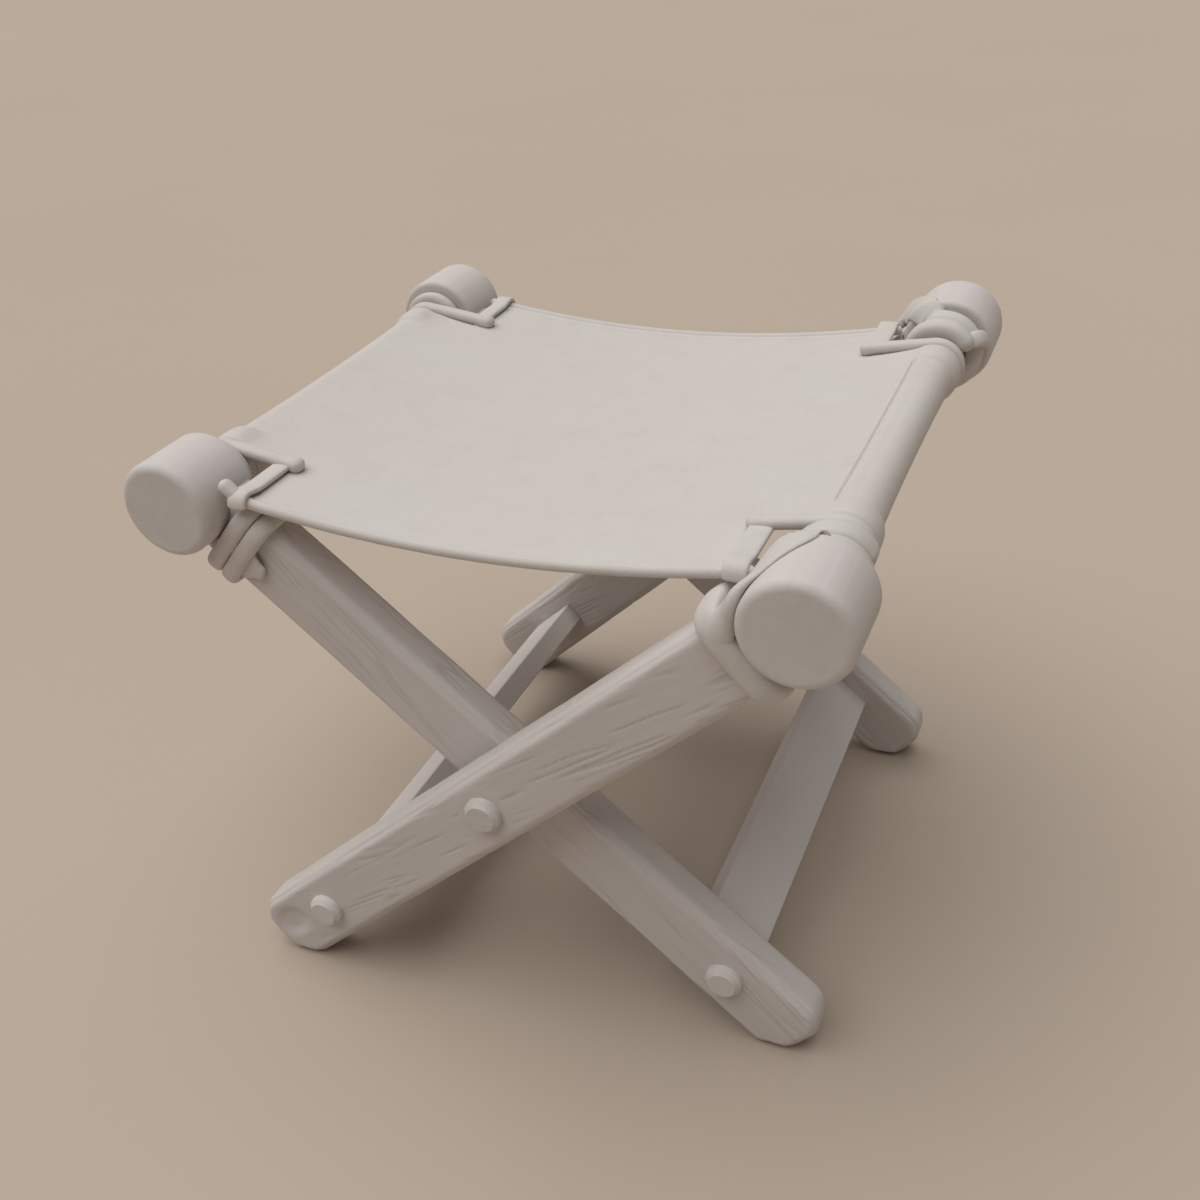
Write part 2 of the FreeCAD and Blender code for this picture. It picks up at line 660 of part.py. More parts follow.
def make_lashing(frame, end, sign):
    """Strap wound round the leg's top, then over or behind the knob and round the rail's neck."""
    point, way = corner_point(frame, sign)
    slope = math.radians(value(SLOPE))
    radius = value("lash_radius")
    stand = value("leather_play") + radius
    corner = value("leg_edge_round") + stand

    def tilt(down, up):
        """Inward and upward shares of a place down the leg from the rail and up across it."""
        return (down * math.cos(slope) + up * math.sin(slope), -down * math.sin(slope) + up * math.cos(slope))

    def stop(down, up, outward, down_way, up_way, outward_way):
        inward, rise = tilt(down, up)
        inward_way, rise_way = tilt(down_way, up_way)
        return point(inward, outward, rise), way(inward_way, outward_way, rise_way)

    taper = value("(leg_foot_width - leg_top_width) / 2") / value("%s + %s" % (RAIL_REACH, FOOT_REACH))
    turns = int(value("lash_turns"))
    outer = value(frame.leg_face) + stand
    inner = min(value(frame.leg_inside), value(frame.knob_back)) - stand
    tucked = frame is FRAME_A
    stations = []
    for index in range(turns):
        down = value(LASH_PLACE) + (turns - 1 - index) * value(LASH_PITCH)
        half = value("leg_top_width") / 2 + taper * down + stand
        if index > 0:
            stations.append(stop(down, corner - half, inner, 0, -1, 0))
        stations += [
            stop(down, -half, inner + corner, 0, 0, 1),
            stop(down, -half, outer - corner, 0, 0, 1),
            stop(down, corner - half, outer, 0, 1, 0),
            stop(down, half - corner, outer, 0, 1, 0),
        ]
        if index < turns - 1 or tucked:
            stations += [
                stop(down, half, outer - corner, 0, 0, -1),
                stop(down, half, inner + corner, 0, 0, -1),
                stop(down, half - corner, inner, 0, -1, 0),
            ]

    round_neck = value("neck_radius") + stand
    neck_y = value(frame.knob_back) - stand
    eighth = 45
    if tucked:
        wrap = value("tuck_wrap")
        for step in range(round(wrap / eighth) + 1):
            angle = -math.radians(value("tuck_start") + eighth * step)
            stations.append(stop(round_neck * math.cos(angle), round_neck * math.sin(angle), neck_y,
                                 math.sin(angle), -math.cos(angle), 0))
        make_tube("lashing_%s_%s" % (end, frame.rail_side), stations, radius)
        return

    lean_start, rise_start, rise_end, drop_end, wrap_end = [
        value("lash_" + name) for name in ("lean_start", "rise_start", "rise_end", "drop_end", "wrap_end")]
    over_knob = value("knob_radius") + stand

    def wound(angle):
        """Place down and up the leg and outward, at an angle of the turn about the rail."""
        drop = smooth((angle - rise_end) / (drop_end - rise_end))
        reach = over_knob + (round_neck - over_knob) * drop
        back = smooth((angle - lean_start) / (rise_end - lean_start))
        turn_angle = math.radians(angle)
        return (reach * math.cos(turn_angle), reach * math.sin(turn_angle), outer + (neck_y - outer) * back)

    steps = round((wrap_end - rise_start) / eighth)
    nudge = 0.5
    for step in range(steps + 1):
        angle = rise_start + (wrap_end - rise_start) * step / steps
        here, before, after = wound(angle), wound(angle - nudge), wound(angle + nudge)
        stations.append(stop(*here, *[b - a for a, b in zip(before, after)]))
    make_tube("lashing_%s_%s" % (end, frame.rail_side), stations, radius)


# The whole stool

for frame in FRAMES:
    make_rail(frame)
    make_stretcher(frame)
    for end, sign in ENDS.items():
        make_leg(frame, end, sign)
        make_peg(frame, end, sign)
        make_tenon_pin(frame, end, sign)
        make_tie(frame, end, sign)
        make_lashing(frame, end, sign)
for end, sign in ENDS.items():
    make_pivot(end, sign)
make_seat()
document.recompute()

# Every object sound, then one file for each sub-part
for item in document.Objects:
    assert "Invalid" not in item.State and "Error" not in item.State, (item.Name, item.State)
leather_names = ("seat_sling", "tie_", "lashing_")
parts = [item for item in document.Objects
         if item.TypeId == "PartDesign::Body" or item.Name.startswith(leather_names)]
os.makedirs("parts", exist_ok=True)
for item in parts:
    assert not item.Shape.isNull() and item.Shape.isValid(), item.Label
    assert len(item.Shape.Solids) == 1, (item.Label, len(item.Shape.Solids))
for item in parts:
    item.Shape.exportStep("parts/%s.step" % item.Label)
print("%d sub-parts written" % len(parts))
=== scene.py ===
"""Looks of the folding stool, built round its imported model.

Two crossed frames of hewn, limewashed wood carry turned rails with knobs. A sling of white-tawed leather
hangs between the rails. Ties hold its corners, and straps are lashed round the leg tops and the rail necks.
"""

import json
import logging
import math
from dataclasses import dataclass, field
from enum import Enum
from typing import Optional, Sequence, Tuple

import bmesh
import bpy
import numpy as np
from mathutils import Matrix, Vector, noise


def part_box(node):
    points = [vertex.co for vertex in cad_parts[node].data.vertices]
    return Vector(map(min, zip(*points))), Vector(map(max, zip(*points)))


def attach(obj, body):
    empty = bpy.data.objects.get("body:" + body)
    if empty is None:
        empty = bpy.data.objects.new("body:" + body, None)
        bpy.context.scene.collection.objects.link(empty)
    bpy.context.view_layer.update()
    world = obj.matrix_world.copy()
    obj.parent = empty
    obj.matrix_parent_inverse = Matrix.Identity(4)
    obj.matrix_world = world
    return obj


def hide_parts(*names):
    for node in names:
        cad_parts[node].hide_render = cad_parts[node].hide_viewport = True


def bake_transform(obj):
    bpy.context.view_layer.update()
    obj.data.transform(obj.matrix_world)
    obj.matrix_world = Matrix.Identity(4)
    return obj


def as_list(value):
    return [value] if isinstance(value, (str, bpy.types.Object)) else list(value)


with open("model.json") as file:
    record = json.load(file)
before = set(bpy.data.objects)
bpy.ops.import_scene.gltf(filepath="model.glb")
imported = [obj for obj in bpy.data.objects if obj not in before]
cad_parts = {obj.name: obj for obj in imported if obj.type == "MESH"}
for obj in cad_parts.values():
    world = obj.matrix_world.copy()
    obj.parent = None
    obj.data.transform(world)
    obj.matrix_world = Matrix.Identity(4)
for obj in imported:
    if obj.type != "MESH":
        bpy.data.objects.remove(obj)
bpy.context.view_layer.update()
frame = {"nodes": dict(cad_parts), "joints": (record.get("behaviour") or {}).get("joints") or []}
LOG = logging.getLogger("folding_stool")

MM = 0.001
HAIR = 0.01 * MM
Triple = Tuple[float, float, float]
Colour = Triple
Span = Tuple[float, float]
Array = np.ndarray


class Side(Enum):
    """The two rails, each with its frame's letter, its body and the sign of its X."""

    LEFT = ("left", "a", "inner_frame", -1)
    RIGHT = ("right", "b", "outer_frame", 1)

    def __init__(self, word: str, letter: str, body: str, sign: int) -> None:
        """Keeps the rail's words and its sign."""
        self.word = word
        self.letter = letter
        self.body = body
        self.sign = sign


class End(Enum):
    """The two ends of a rail, each with the sign of its Y."""

    FRONT = ("front", -1)
    BACK = ("back", 1)

    def __init__(self, word: str, sign: int) -> None:
        """Keeps the end's word and its sign."""
        self.word = word
        self.sign = sign


class GrainRun(Enum):
    """Which way the wood's fibres run: up a leg of either frame, or along Y."""

    LEG_A = "up the inner frame's legs"
    LEG_B = "up the outer frame's legs"
    ALONG_Y = "along the rails and stretchers"


# Shared lines of the stool

def smoothstep(low: float, high: float, value: float) -> float:
    """Even rise from nought at low to one at high.

    Args:
        low: Where the rise starts.
        high: Where it ends.
        value: The place to read it at.

    Returns:
        The share from nought to one.
    """
    share = min(max((value - low) / (high - low), 0.0), 1.0)
    return share * share * (3 - 2 * share)


def bell(distance: float, width: float, power: int = 2) -> float:
    """Swell that is one at nought and dies away past its width."""
    return math.exp(-(distance / width) ** power)


@dataclass
class Layout:
    """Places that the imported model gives, in metres and radians."""

    rail_x: float
    rail_z: float
    knob_radius: float
    pivot: Vector
    leg_faces: dict
    leg_insides: dict
    rail_ends: dict
    knob_length: float = 56 * MM
    leg_top_width: float = 54 * MM
    leg_foot_width: float = 62 * MM
    leg_edge: float = 8 * MM
    foot_reach: float = 283 * MM
    sag_angle: float = math.radians(13)
    sleeve_radius: float = 15.9 * MM
    leather: float = 2.6 * MM
    hem_place: float = 196 * MM

    @classmethod
    def read(cls) -> "Layout":
        """Reads the frame's boxes.

        Returns:
            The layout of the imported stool.
        """
        low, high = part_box("rail_right")
        joint = frame["joints"][0]
        legs = {side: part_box(f"leg_{side.letter}_back") for side in Side}
        rails = {side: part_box(f"rail_{side.word}") for side in Side}
        return cls(
            rail_x=(low.x + high.x) / 2,
            rail_z=(low.z + high.z) / 2,
            knob_radius=(high.z - low.z) / 2,
            pivot=Vector(joint["pos_m"]),
            leg_faces={side: legs[side][1].y for side in Side},
            leg_insides={side: legs[side][0].y for side in Side},
            rail_ends={side: rails[side][1].y for side in Side},
        )

    @property
    def slope(self) -> float:
        """Angle of the legs above the floor."""
        return math.atan2(self.rail_z - self.pivot.z, self.rail_x)

    @property
    def rail_reach(self) -> float:
        """Distance from the pivot to a rail."""
        return math.hypot(self.rail_z - self.pivot.z, self.rail_x)

    @property
    def sag_radius(self) -> float:
        """Radius of the sheet's upper face."""
        return self.rail_x / math.sin(self.sag_angle) - self.sleeve_radius

    @property
    def sag_centre(self) -> float:
        """Height of the sag's centre."""
        return self.rail_z + self.rail_x / math.tan(self.sag_angle)

    @property
    def sheet_edge(self) -> float:
        """Distance along the sheet from its middle to where it meets a rail's sleeve."""
        return self.sag_radius * self.sag_angle

    def sheet_run(self, across: float) -> float:
        """Distance along the sheet from its middle to an X."""
        return self.sag_radius * math.asin(across / self.sag_radius)

    def sheet_top(self, across: float) -> float:
        """Height of the sheet's upper face at an X."""
        return self.sag_centre - math.sqrt(self.sag_radius ** 2 - across ** 2)

    def knob_back(self, side: Side) -> float:
        """Distance of the knob's inner end from the middle, along Y."""
        return self.rail_ends[side] - self.knob_length


@dataclass(frozen=True)
class Corner:
    """One corner of the stool, with its own inward, outward and upward directions."""

    layout: Layout
    side: Side
    end: End

    @property
    def name(self) -> str:
        """End and side in words, as the nodes have them."""
        return f"{self.end.word}_{self.side.word}"

    def point(self, inward: float, outward: float, up: float) -> Vector:
        """Point at distances from the rail's line."""
        return Vector((self.side.sign * (self.layout.rail_x - inward), self.end.sign * outward,
                       self.layout.rail_z + up))

    def way(self, inward: float, outward: float, up: float) -> Vector:
        """Direction with those shares."""
        return Vector((-self.side.sign * inward, self.end.sign * outward, up))

    def tilt(self, down: float, up: float) -> Tuple[float, float]:
        """Inward and upward shares of a place down the leg and across it."""
        slope = self.layout.slope
        return (down * math.cos(slope) + up * math.sin(slope),
                -down * math.sin(slope) + up * math.cos(slope))

    def leg_point(self, down: float, up: float, outward: float) -> Vector:
        """Point down the leg from the rail, up across it and outward along Y."""
        inward, rise = self.tilt(down, up)
        return self.point(inward, outward, rise)

    def leg_way(self, down: float, up: float, outward: float) -> Vector:
        """Direction with those shares."""
        inward, rise = self.tilt(down, up)
        return self.way(inward, outward, rise)


def corners(layout: Layout) -> list:
    """The four corners of the stool."""
    return [Corner(layout, side, end) for side in Side for end in End]


# Meshes

def new_piece(name: str, points: Sequence, faces: Sequence) -> bpy.types.Object:
    """Makes a smooth-shaded mesh object whose faces all look outwards.

    Args:
        name: The piece's name.
        points: Its corners, in metres.
        faces: Its faces, as lists of corner numbers.

    Returns:
        The new object, in the scene.
    """
    mesh = bpy.data.meshes.new(name)
    mesh.from_pydata([tuple(p) for p in points], [], [tuple(f) for f in faces])
    work = bmesh.new()
    work.from_mesh(mesh)
    bmesh.ops.recalc_face_normals(work, faces=work.faces)
    work.to_mesh(mesh)
    work.free()
    mesh.polygons.foreach_set("use_smooth", [True] * len(mesh.polygons))
    piece = bpy.data.objects.new(name, mesh)
    bpy.context.scene.collection.objects.link(piece)
    return piece


def rows_of_three(items: bpy.types.bpy_prop_collection, key: str) -> Array:
    """Values of a mesh's points, one row of three for each."""
    values = np.empty(len(items) * 3, np.float32)
    items.foreach_get(key, values)
    return values.reshape(-1, 3)


def stations(first: float, *runs: Tuple[float, int]) -> list:
    """Places along a line, one run after another.

    Args:
        first: The first place.
        runs: Each run's last place and its number of steps.

    Returns:
        The places.
    """
    places = [first]
    for last, steps in runs:
        places += list(np.linspace(places[-1], last, steps + 1))[1:]
    return places


def joined(name: str, pieces: Sequence[bpy.types.Object]) -> bpy.types.Object:
    """Joins mesh objects into the first and names it."""
    bpy.ops.object.select_all(action="DESELECT")
    for piece in pieces:
        piece.select_set(True)
    bpy.context.view_layer.objects.active = pieces[0]
    if len(pieces) > 1:
        bpy.ops.object.join()
    pieces[0].name = name
    pieces[0].data.name = name
    return pieces[0]


@dataclass(frozen=True)
class StrapSection:
    """Rounded section of a strap: width across, thickness outward, and how square its sides are."""

    width: float
    thickness: float
    squareness: float = 2.0
    sides: int = 24
    cap_rings: int = 5

    def outline(self) -> Array:
        """Points round the section.

        Returns:
            An array of places across and outward.
        """
        turn = np.linspace(0, 2 * math.pi, self.sides, endpoint=False)
        power = 2 / self.squareness
        across = np.sign(np.cos(turn)) * np.abs(np.cos(turn)) ** power
        outward = np.sign(np.sin(turn)) * np.abs(np.sin(turn)) ** power
        return np.stack([across * self.width / 2, outward * self.thickness / 2], axis=1)


def settled(points: Array, passes: int) -> Array:
    """Relaxes a line of points, with its ends kept.

    Args:
        points: The line.
        passes: How many times to relax it.

    Returns:
        The relaxed line.
    """
    line = points.copy()
    for _ in range(passes):
        line[1:-1] = (line[:-2] + 2 * line[1:-1] + line[2:]) / 4
    return line


def evenly(points: Array, step: float, *others: Array) -> list:
    """Spaces a line's points evenly, and whatever goes with them.

    Args:
        points: The line.
        step: The wanted distance between points.
        others: Values that belong to the points.

    Returns:
        The new line, followed by the values at its points.
    """
    gaps = np.linalg.norm(np.diff(points, axis=0), axis=1)
    run = np.concatenate([[0.0], np.cumsum(gaps)])
    places = np.linspace(0, run[-1], max(int(round(run[-1] / step)), 2) + 1)

    def read(values: Array) -> Array:
        """Values at the new places."""
        return np.stack([np.interp(places, run, column) for column in values.T], axis=1)

    return [read(points)] + [read(values) for values in others]


def arrays(stops: Sequence[tuple]) -> list:
    """Turns a strap's stops into arrays of points, outward directions and shares."""
    return [np.array(values) for values in zip(*stops)]


def swept(name: str, section: StrapSection, line: Array, outward: Array,
          sizes: Optional[Array] = None) -> bpy.types.Object:
    """Draws a section along a line, with rounded ends.

    Args:
        name: The piece's name.
        section: The strap's section.
        line: Points along the strap.
        outward: The strap's outward direction at each point.
        sizes: Shares of the section's width and thickness at each point.

    Returns:
        The closed strap.
    """
    tangent = np.gradient(line, axis=0)
    tangent /= np.linalg.norm(tangent, axis=1)[:, None]
    outward = outward - tangent * np.sum(outward * tangent, axis=1)[:, None]
    outward /= np.linalg.norm(outward, axis=1)[:, None]
    across = np.cross(tangent, outward)
    sizes = np.ones((len(line), 2)) if sizes is None else sizes
    outline = section.outline()
    rings = []

    def ring(index: int, shift: float, scale: float) -> None:
        """One ring of the section, shifted along the strap and scaled."""
        middle = line[index] + tangent[index] * shift
        wide = outline[:, :1] * sizes[index, 0] * scale * across[index]
        thick = outline[:, 1:] * sizes[index, 1] * scale * outward[index]
        rings.append(middle + wide + thick)

    quarter = [math.pi / 2 * k / section.cap_rings for k in range(1, section.cap_rings)]
    reaches = section.thickness / 2 * sizes[:, 1]
    for turn in reversed(quarter):
        ring(0, -reaches[0] * math.sin(turn), math.cos(turn))
    for index in range(len(line)):
        ring(index, 0.0, 1.0)
    for turn in quarter:
        ring(len(line) - 1, reaches[-1] * math.sin(turn), math.cos(turn))
    points = [tuple(p) for r in rings for p in r]
    count = section.sides
    faces = []
    for row in range(len(rings) - 1):
        for k in range(count):
            following = (k + 1) % count
            faces.append((row * count + k, row * count + following,
                          (row + 1) * count + following, (row + 1) * count + k))
    tips = (line[0] - tangent[0] * reaches[0], line[-1] + tangent[-1] * reaches[-1])
    for tip, row in zip(tips, (0, len(rings) - 1)):
        points.append(tuple(tip))
        for k in range(count):
            faces.append((row * count + k, row * count + (k + 1) % count, len(points) - 1))
    return new_piece(name, points, faces)


# Finishes

class NodeSheet:
    """Node tree of one material, with short calls to add nodes and join them."""

    def __init__(self, name: str) -> None:
        """Starts a material with its shader and the piece's own coordinates."""
        self.material = bpy.data.materials.new(name)
        self.material.use_nodes = True
        self.tree = self.material.node_tree
        self.shader = self.tree.nodes["Principled BSDF"]
        self.place = self.add("ShaderNodeTexCoord").outputs["Object"]

    def add(self, kind: str, settings: Optional[dict] = None, **values: object) -> bpy.types.Node:
        """Adds a node.

        Args:
            kind: The node's type.
            settings: The node's own properties.
            values: Its inputs by name, with _ for a space; a socket is joined, anything else is set.

        Returns:
            The node.
        """
        node = self.tree.nodes.new(kind)
        for key, value in (settings or {}).items():
            setattr(node, key, value)
        for key, value in values.items():
            self.feed(node.inputs[key.replace("_", " ")], value)
        return node

    def feed(self, socket: bpy.types.NodeSocket, value: object) -> None:
        """Joins a socket to another, or sets its value."""
        if isinstance(value, bpy.types.NodeSocket):
            self.tree.links.new(value, socket)
        else:
            socket.default_value = value

    def mix(self, share: object, first: object, second: object) -> bpy.types.NodeSocket:
        """Mixes two colours.

        Args:
            share: How much of the second.
            first: The first colour.
            second: The second colour.

        Returns:
            The mixed colour's socket.
        """
        node = self.tree.nodes.new("ShaderNodeMix")
        node.data_type = "RGBA"
        sockets = [s for s in node.inputs if s.enabled]
        for socket, value in zip(sockets, (share, first, second)):
            self.feed(socket, (*value, 1.0) if isinstance(value, tuple) else value)
        return [s for s in node.outputs if s.enabled][0]

    def spread(self, value: bpy.types.NodeSocket, reach: Span, shares: Span) -> bpy.types.NodeSocket:
        """Maps a value from one range to another, held at both ends."""
        ends = dict(zip(("From_Min", "From_Max", "To_Min", "To_Max"), (*reach, *shares)))
        return self.add("ShaderNodeMapRange", Value=value, **ends).outputs["Result"]

    def veil(self, under: object, pattern: bpy.types.NodeSocket, reach: Span, shares: Span,
             colour: Colour) -> bpy.types.NodeSocket:
        """Lays a colour over another where a pattern lies in a range.

        Args:
            under: The colour below.
            pattern: The pattern's value.
            reach: The pattern's range.
            shares: How much of the upper colour shows at the range's two ends.
            colour: The upper colour.

        Returns:
            The new colour's socket.
        """
        return self.mix(self.spread(pattern, reach, shares), under, colour)

    def clouds(self, scale: float, detail: float, warp: float = 0.0,
               place: Optional[bpy.types.NodeSocket] = None) -> bpy.types.NodeSocket:
        """Noise over the piece, or over another place if one is given."""
        return self.add("ShaderNodeTexNoise", Vector=place or self.place, Scale=scale, Detail=detail,
                        Distortion=warp).outputs["Fac"]

    def edges(self) -> bpy.types.NodeSocket:
        """How sharp an edge is: above one half on a ridge, below it in a hollow."""
        return self.add("ShaderNodeNewGeometry").outputs["Pointiness"]

    def bump(self, height: bpy.types.NodeSocket, distance: float, strength: float,
             under: Optional[bpy.types.NodeSocket] = None) -> bpy.types.NodeSocket:
        """Adds a bump over an earlier one and gives its normal."""
        earlier = {} if under is None else {"Normal": under}
        return self.add("ShaderNodeBump", Height=height, Distance=distance, Strength=strength,
                        **earlier).outputs["Normal"]

    def coat(self, tint: bpy.types.NodeSocket, rough: object, specular: float,
             normal: Optional[bpy.types.NodeSocket] = None) -> bpy.types.Material:
        """Joins colour, roughness and normal to the shader.

        Args:
            tint: The colour.
            rough: The roughness, a socket or a number.
            specular: The shader's specular level.
            normal: The bumped normal.

        Returns:
            The material.
        """
        self.feed(self.shader.inputs["Base Color"], tint)
        self.feed(self.shader.inputs["Roughness"], rough)
        self.shader.inputs["Specular IOR Level"].default_value = specular
        if normal is not None:
            self.feed(self.shader.inputs["Normal"], normal)
        return self.material


# The range that most of a noise lies in, and the legs' attribute for the depth of a tool mark
MIDDLE = (0.3, 0.7)
MARKS = "tool_marks"


@dataclass(frozen=True)
class LimewashedWood:
    """Pale limewashed wood: long fibres, soft growth bands, worn patches, painted shade in the tool marks and
    a painted highlight on the edges.
    """

    name: str
    run: GrainRun
    base: Colour = (0.61, 0.57, 0.555)
    shade: Colour = (0.555, 0.512, 0.492)
    # Lighter colour for worn patches, and for a painted highlight on the sharp edges
    rubbed_and_highlight: Colour = (0.66, 0.62, 0.605)
    # Darker colour laid in the tool marks as painted shade
    groove_shade: Colour = (0.42, 0.385, 0.352)
    roughness: Span = (0.62, 0.82)
    fibre_scale: float = 1.0
    specular: float = 0.3

    def make(self, slope: float) -> bpy.types.Material:
        """Makes the material.

        Args:
            slope: Angle of the legs above the floor.

        Returns:
            The material.
        """
        turns = {
            GrainRun.LEG_A: (0.0, -slope, 0.0),
            GrainRun.LEG_B: (0.0, slope, 0.0),
            GrainRun.ALONG_Y: (0.0, 0.0, math.pi / 2),
        }
        sheet = NodeSheet(self.name)
        along = sheet.add("ShaderNodeMapping", Vector=sheet.place, Rotation=turns[self.run]).outputs["Vector"]

        def grain(stretch: Triple, detail: float, warp: float) -> bpy.types.NodeSocket:
            """Noise drawn out along the fibres."""
            scale = [s * self.fibre_scale for s in stretch]
            drawn = sheet.add("ShaderNodeMapping", Vector=along, Scale=scale)
            return sheet.clouds(1.0, detail, warp, drawn.outputs["Vector"])

        fibre = grain((14.0, 420.0, 420.0), 5.0, 0.3)
        bands = grain((5.0, 75.0, 75.0), 3.0, 0.9)
        patches = grain((6.0, 14.0, 14.0), 2.0, 0.0)
        marks = sheet.add("ShaderNodeAttribute", {"attribute_name": MARKS}).outputs["Fac"]
        tint = sheet.veil(self.base, bands, (0.38, 0.66), (0.0, 0.5), self.shade)
        tint = sheet.veil(tint, fibre, (0.45, 0.75), (0.0, 0.35), self.shade)
        tint = sheet.veil(tint, patches, (0.35, 0.7), (0.0, 0.4), self.rubbed_and_highlight)
        # Painted highlight: the sharp edges are lightened
        tint = sheet.veil(tint, sheet.edges(), (0.505, 0.56), (0.0, 0.8), self.rubbed_and_highlight)
        # Painted shade: the tool marks are darkened
        tint = sheet.veil(tint, marks, (0.0, 1.0), (0.0, 0.28), self.groove_shade)
        normal = sheet.bump(fibre, 0.3 * MM, 0.3, sheet.bump(bands, 0.6 * MM, 0.35))
        return sheet.coat(tint, sheet.spread(fibre, MIDDLE, self.roughness), self.specular, normal)


@dataclass(frozen=True)
class TawedLeather:
    """White-tawed leather: fine pebbled grain with darker cell edges, soft creases, faint warm and cool
    clouds, painted shade in its hollows, a dry surface.
    """

    name: str
    base: Colour = (0.615, 0.590, 0.560)
    warm: Colour = (0.620, 0.570, 0.545)
    # Darker colour for faint clouds of dirt and the grain's cell edges, and painted shade in the hollows
    soil_and_shade: Colour = (0.50, 0.465, 0.43)
    roughness: Span = (0.66, 0.84)
    grain_scale: float = 520.0
    specular: float = 0.25

    def make(self) -> bpy.types.Material:
        """Makes the material.

        Returns:
            The material.
        """
        sheet = NodeSheet(self.name)
        broad, soft, creases = sheet.clouds(9.0, 2.0), sheet.clouds(42.0, 4.0), sheet.clouds(150.0, 5.0)
        cells = sheet.add("ShaderNodeTexVoronoi", {"feature": "DISTANCE_TO_EDGE"}, Vector=sheet.place,
                          Scale=self.grain_scale).outputs["Distance"]
        tint = sheet.veil(self.base, broad, (0.38, 0.64), (0.0, 0.85), self.warm)
        tint = sheet.veil(tint, soft, (0.5, 0.8), (0.0, 0.22), self.soil_and_shade)
        # The grain's cell edges are darkened
        tint = sheet.veil(tint, cells, (0.0, 0.10), (0.28, 0.0), self.soil_and_shade)
        # Painted shade: the hollows are darkened
        tint = sheet.veil(tint, sheet.edges(), (0.40, 0.49), (0.45, 0.0), self.soil_and_shade)
        pebbles = sheet.spread(cells, (0.0, 0.22), (0.0, 1.0))
        normal = sheet.bump(pebbles, 0.16 * MM, 0.45, sheet.bump(creases, 0.35 * MM, 0.25))
        return sheet.coat(tint, sheet.spread(soft, MIDDLE, self.roughness), self.specular, normal)


@dataclass(frozen=True)
class PaintedIron:
    """Hammered iron under old off-white paint: shallow dents, and paint rubbed thin on the edges."""

    name: str
    base: Colour = (0.60, 0.575, 0.545)
    thin: Colour = (0.50, 0.47, 0.44)
    roughness: Span = (0.48, 0.7)
    specular: float = 0.5

    def make(self) -> bpy.types.Material:
        """Makes the material.

        Returns:
            The material.
        """
        sheet = NodeSheet(self.name)
        dents, brush = sheet.clouds(210.0, 3.0), sheet.clouds(800.0, 2.0)
        tint = sheet.veil(self.base, dents, (0.4, 0.7), (0.0, 0.6), self.thin)
        tint = sheet.veil(tint, sheet.edges(), (0.53, 0.62), (0.0, 0.5), self.thin)
        normal = sheet.bump(brush, 0.1 * MM, 0.3, sheet.bump(dents, 0.5 * MM, 0.3))
        return sheet.coat(tint, sheet.spread(brush, MIDDLE, self.roughness), self.specular, normal)


@dataclass
class Finishes:
    """The stool's materials, made once and shared."""

    legs: dict
    turned_wood: bpy.types.Material
    sawn_wood: bpy.types.Material
    peg_wood: bpy.types.Material
    iron: bpy.types.Material
    seat: bpy.types.Material
    strap: bpy.types.Material

    @classmethod
    def make(cls, layout: Layout) -> "Finishes":
        """Makes every finish for a layout."""
        def wood(name: str, run: GrainRun, **changes: object) -> bpy.types.Material:
            """Limewashed wood whose fibres run one way."""
            return LimewashedWood(f"limewashed_{name}", run, **changes).make(layout.slope)

        runs = {Side.LEFT: GrainRun.LEG_A, Side.RIGHT: GrainRun.LEG_B}
        return cls(
            legs={side: wood(f"leg_{side.letter}", runs[side]) for side in Side},
            turned_wood=wood("rail", GrainRun.ALONG_Y, shade=(0.54, 0.51, 0.478)),
            sawn_wood=wood("stretcher", GrainRun.ALONG_Y),
            peg_wood=wood("peg", GrainRun.ALONG_Y, fibre_scale=1.6),
            iron=PaintedIron("painted_iron").make(),
            seat=TawedLeather("tawed_seat").make(),
            strap=TawedLeather("tawed_strap", grain_scale=700.0).make(),
        )


def dress(piece: bpy.types.Object, material: bpy.types.Material) -> None:
    """Gives a piece one material."""
    piece.data.materials.clear()
    piece.data.materials.append(material)


# Wooden frames

@dataclass(frozen=True)
class Scoop:
    """Hollow worn into a leg's outer face: its place along and across the leg, its reach and its depth.

    Its slope falls, and the tool marks round it fade, over spans given as shares of its reach.
    """

    along: float
    across: float
    reach: Span
    depth: float
    fall: Span = (0.35, 1.0)
    fade: Span = (0.8, 2.0)


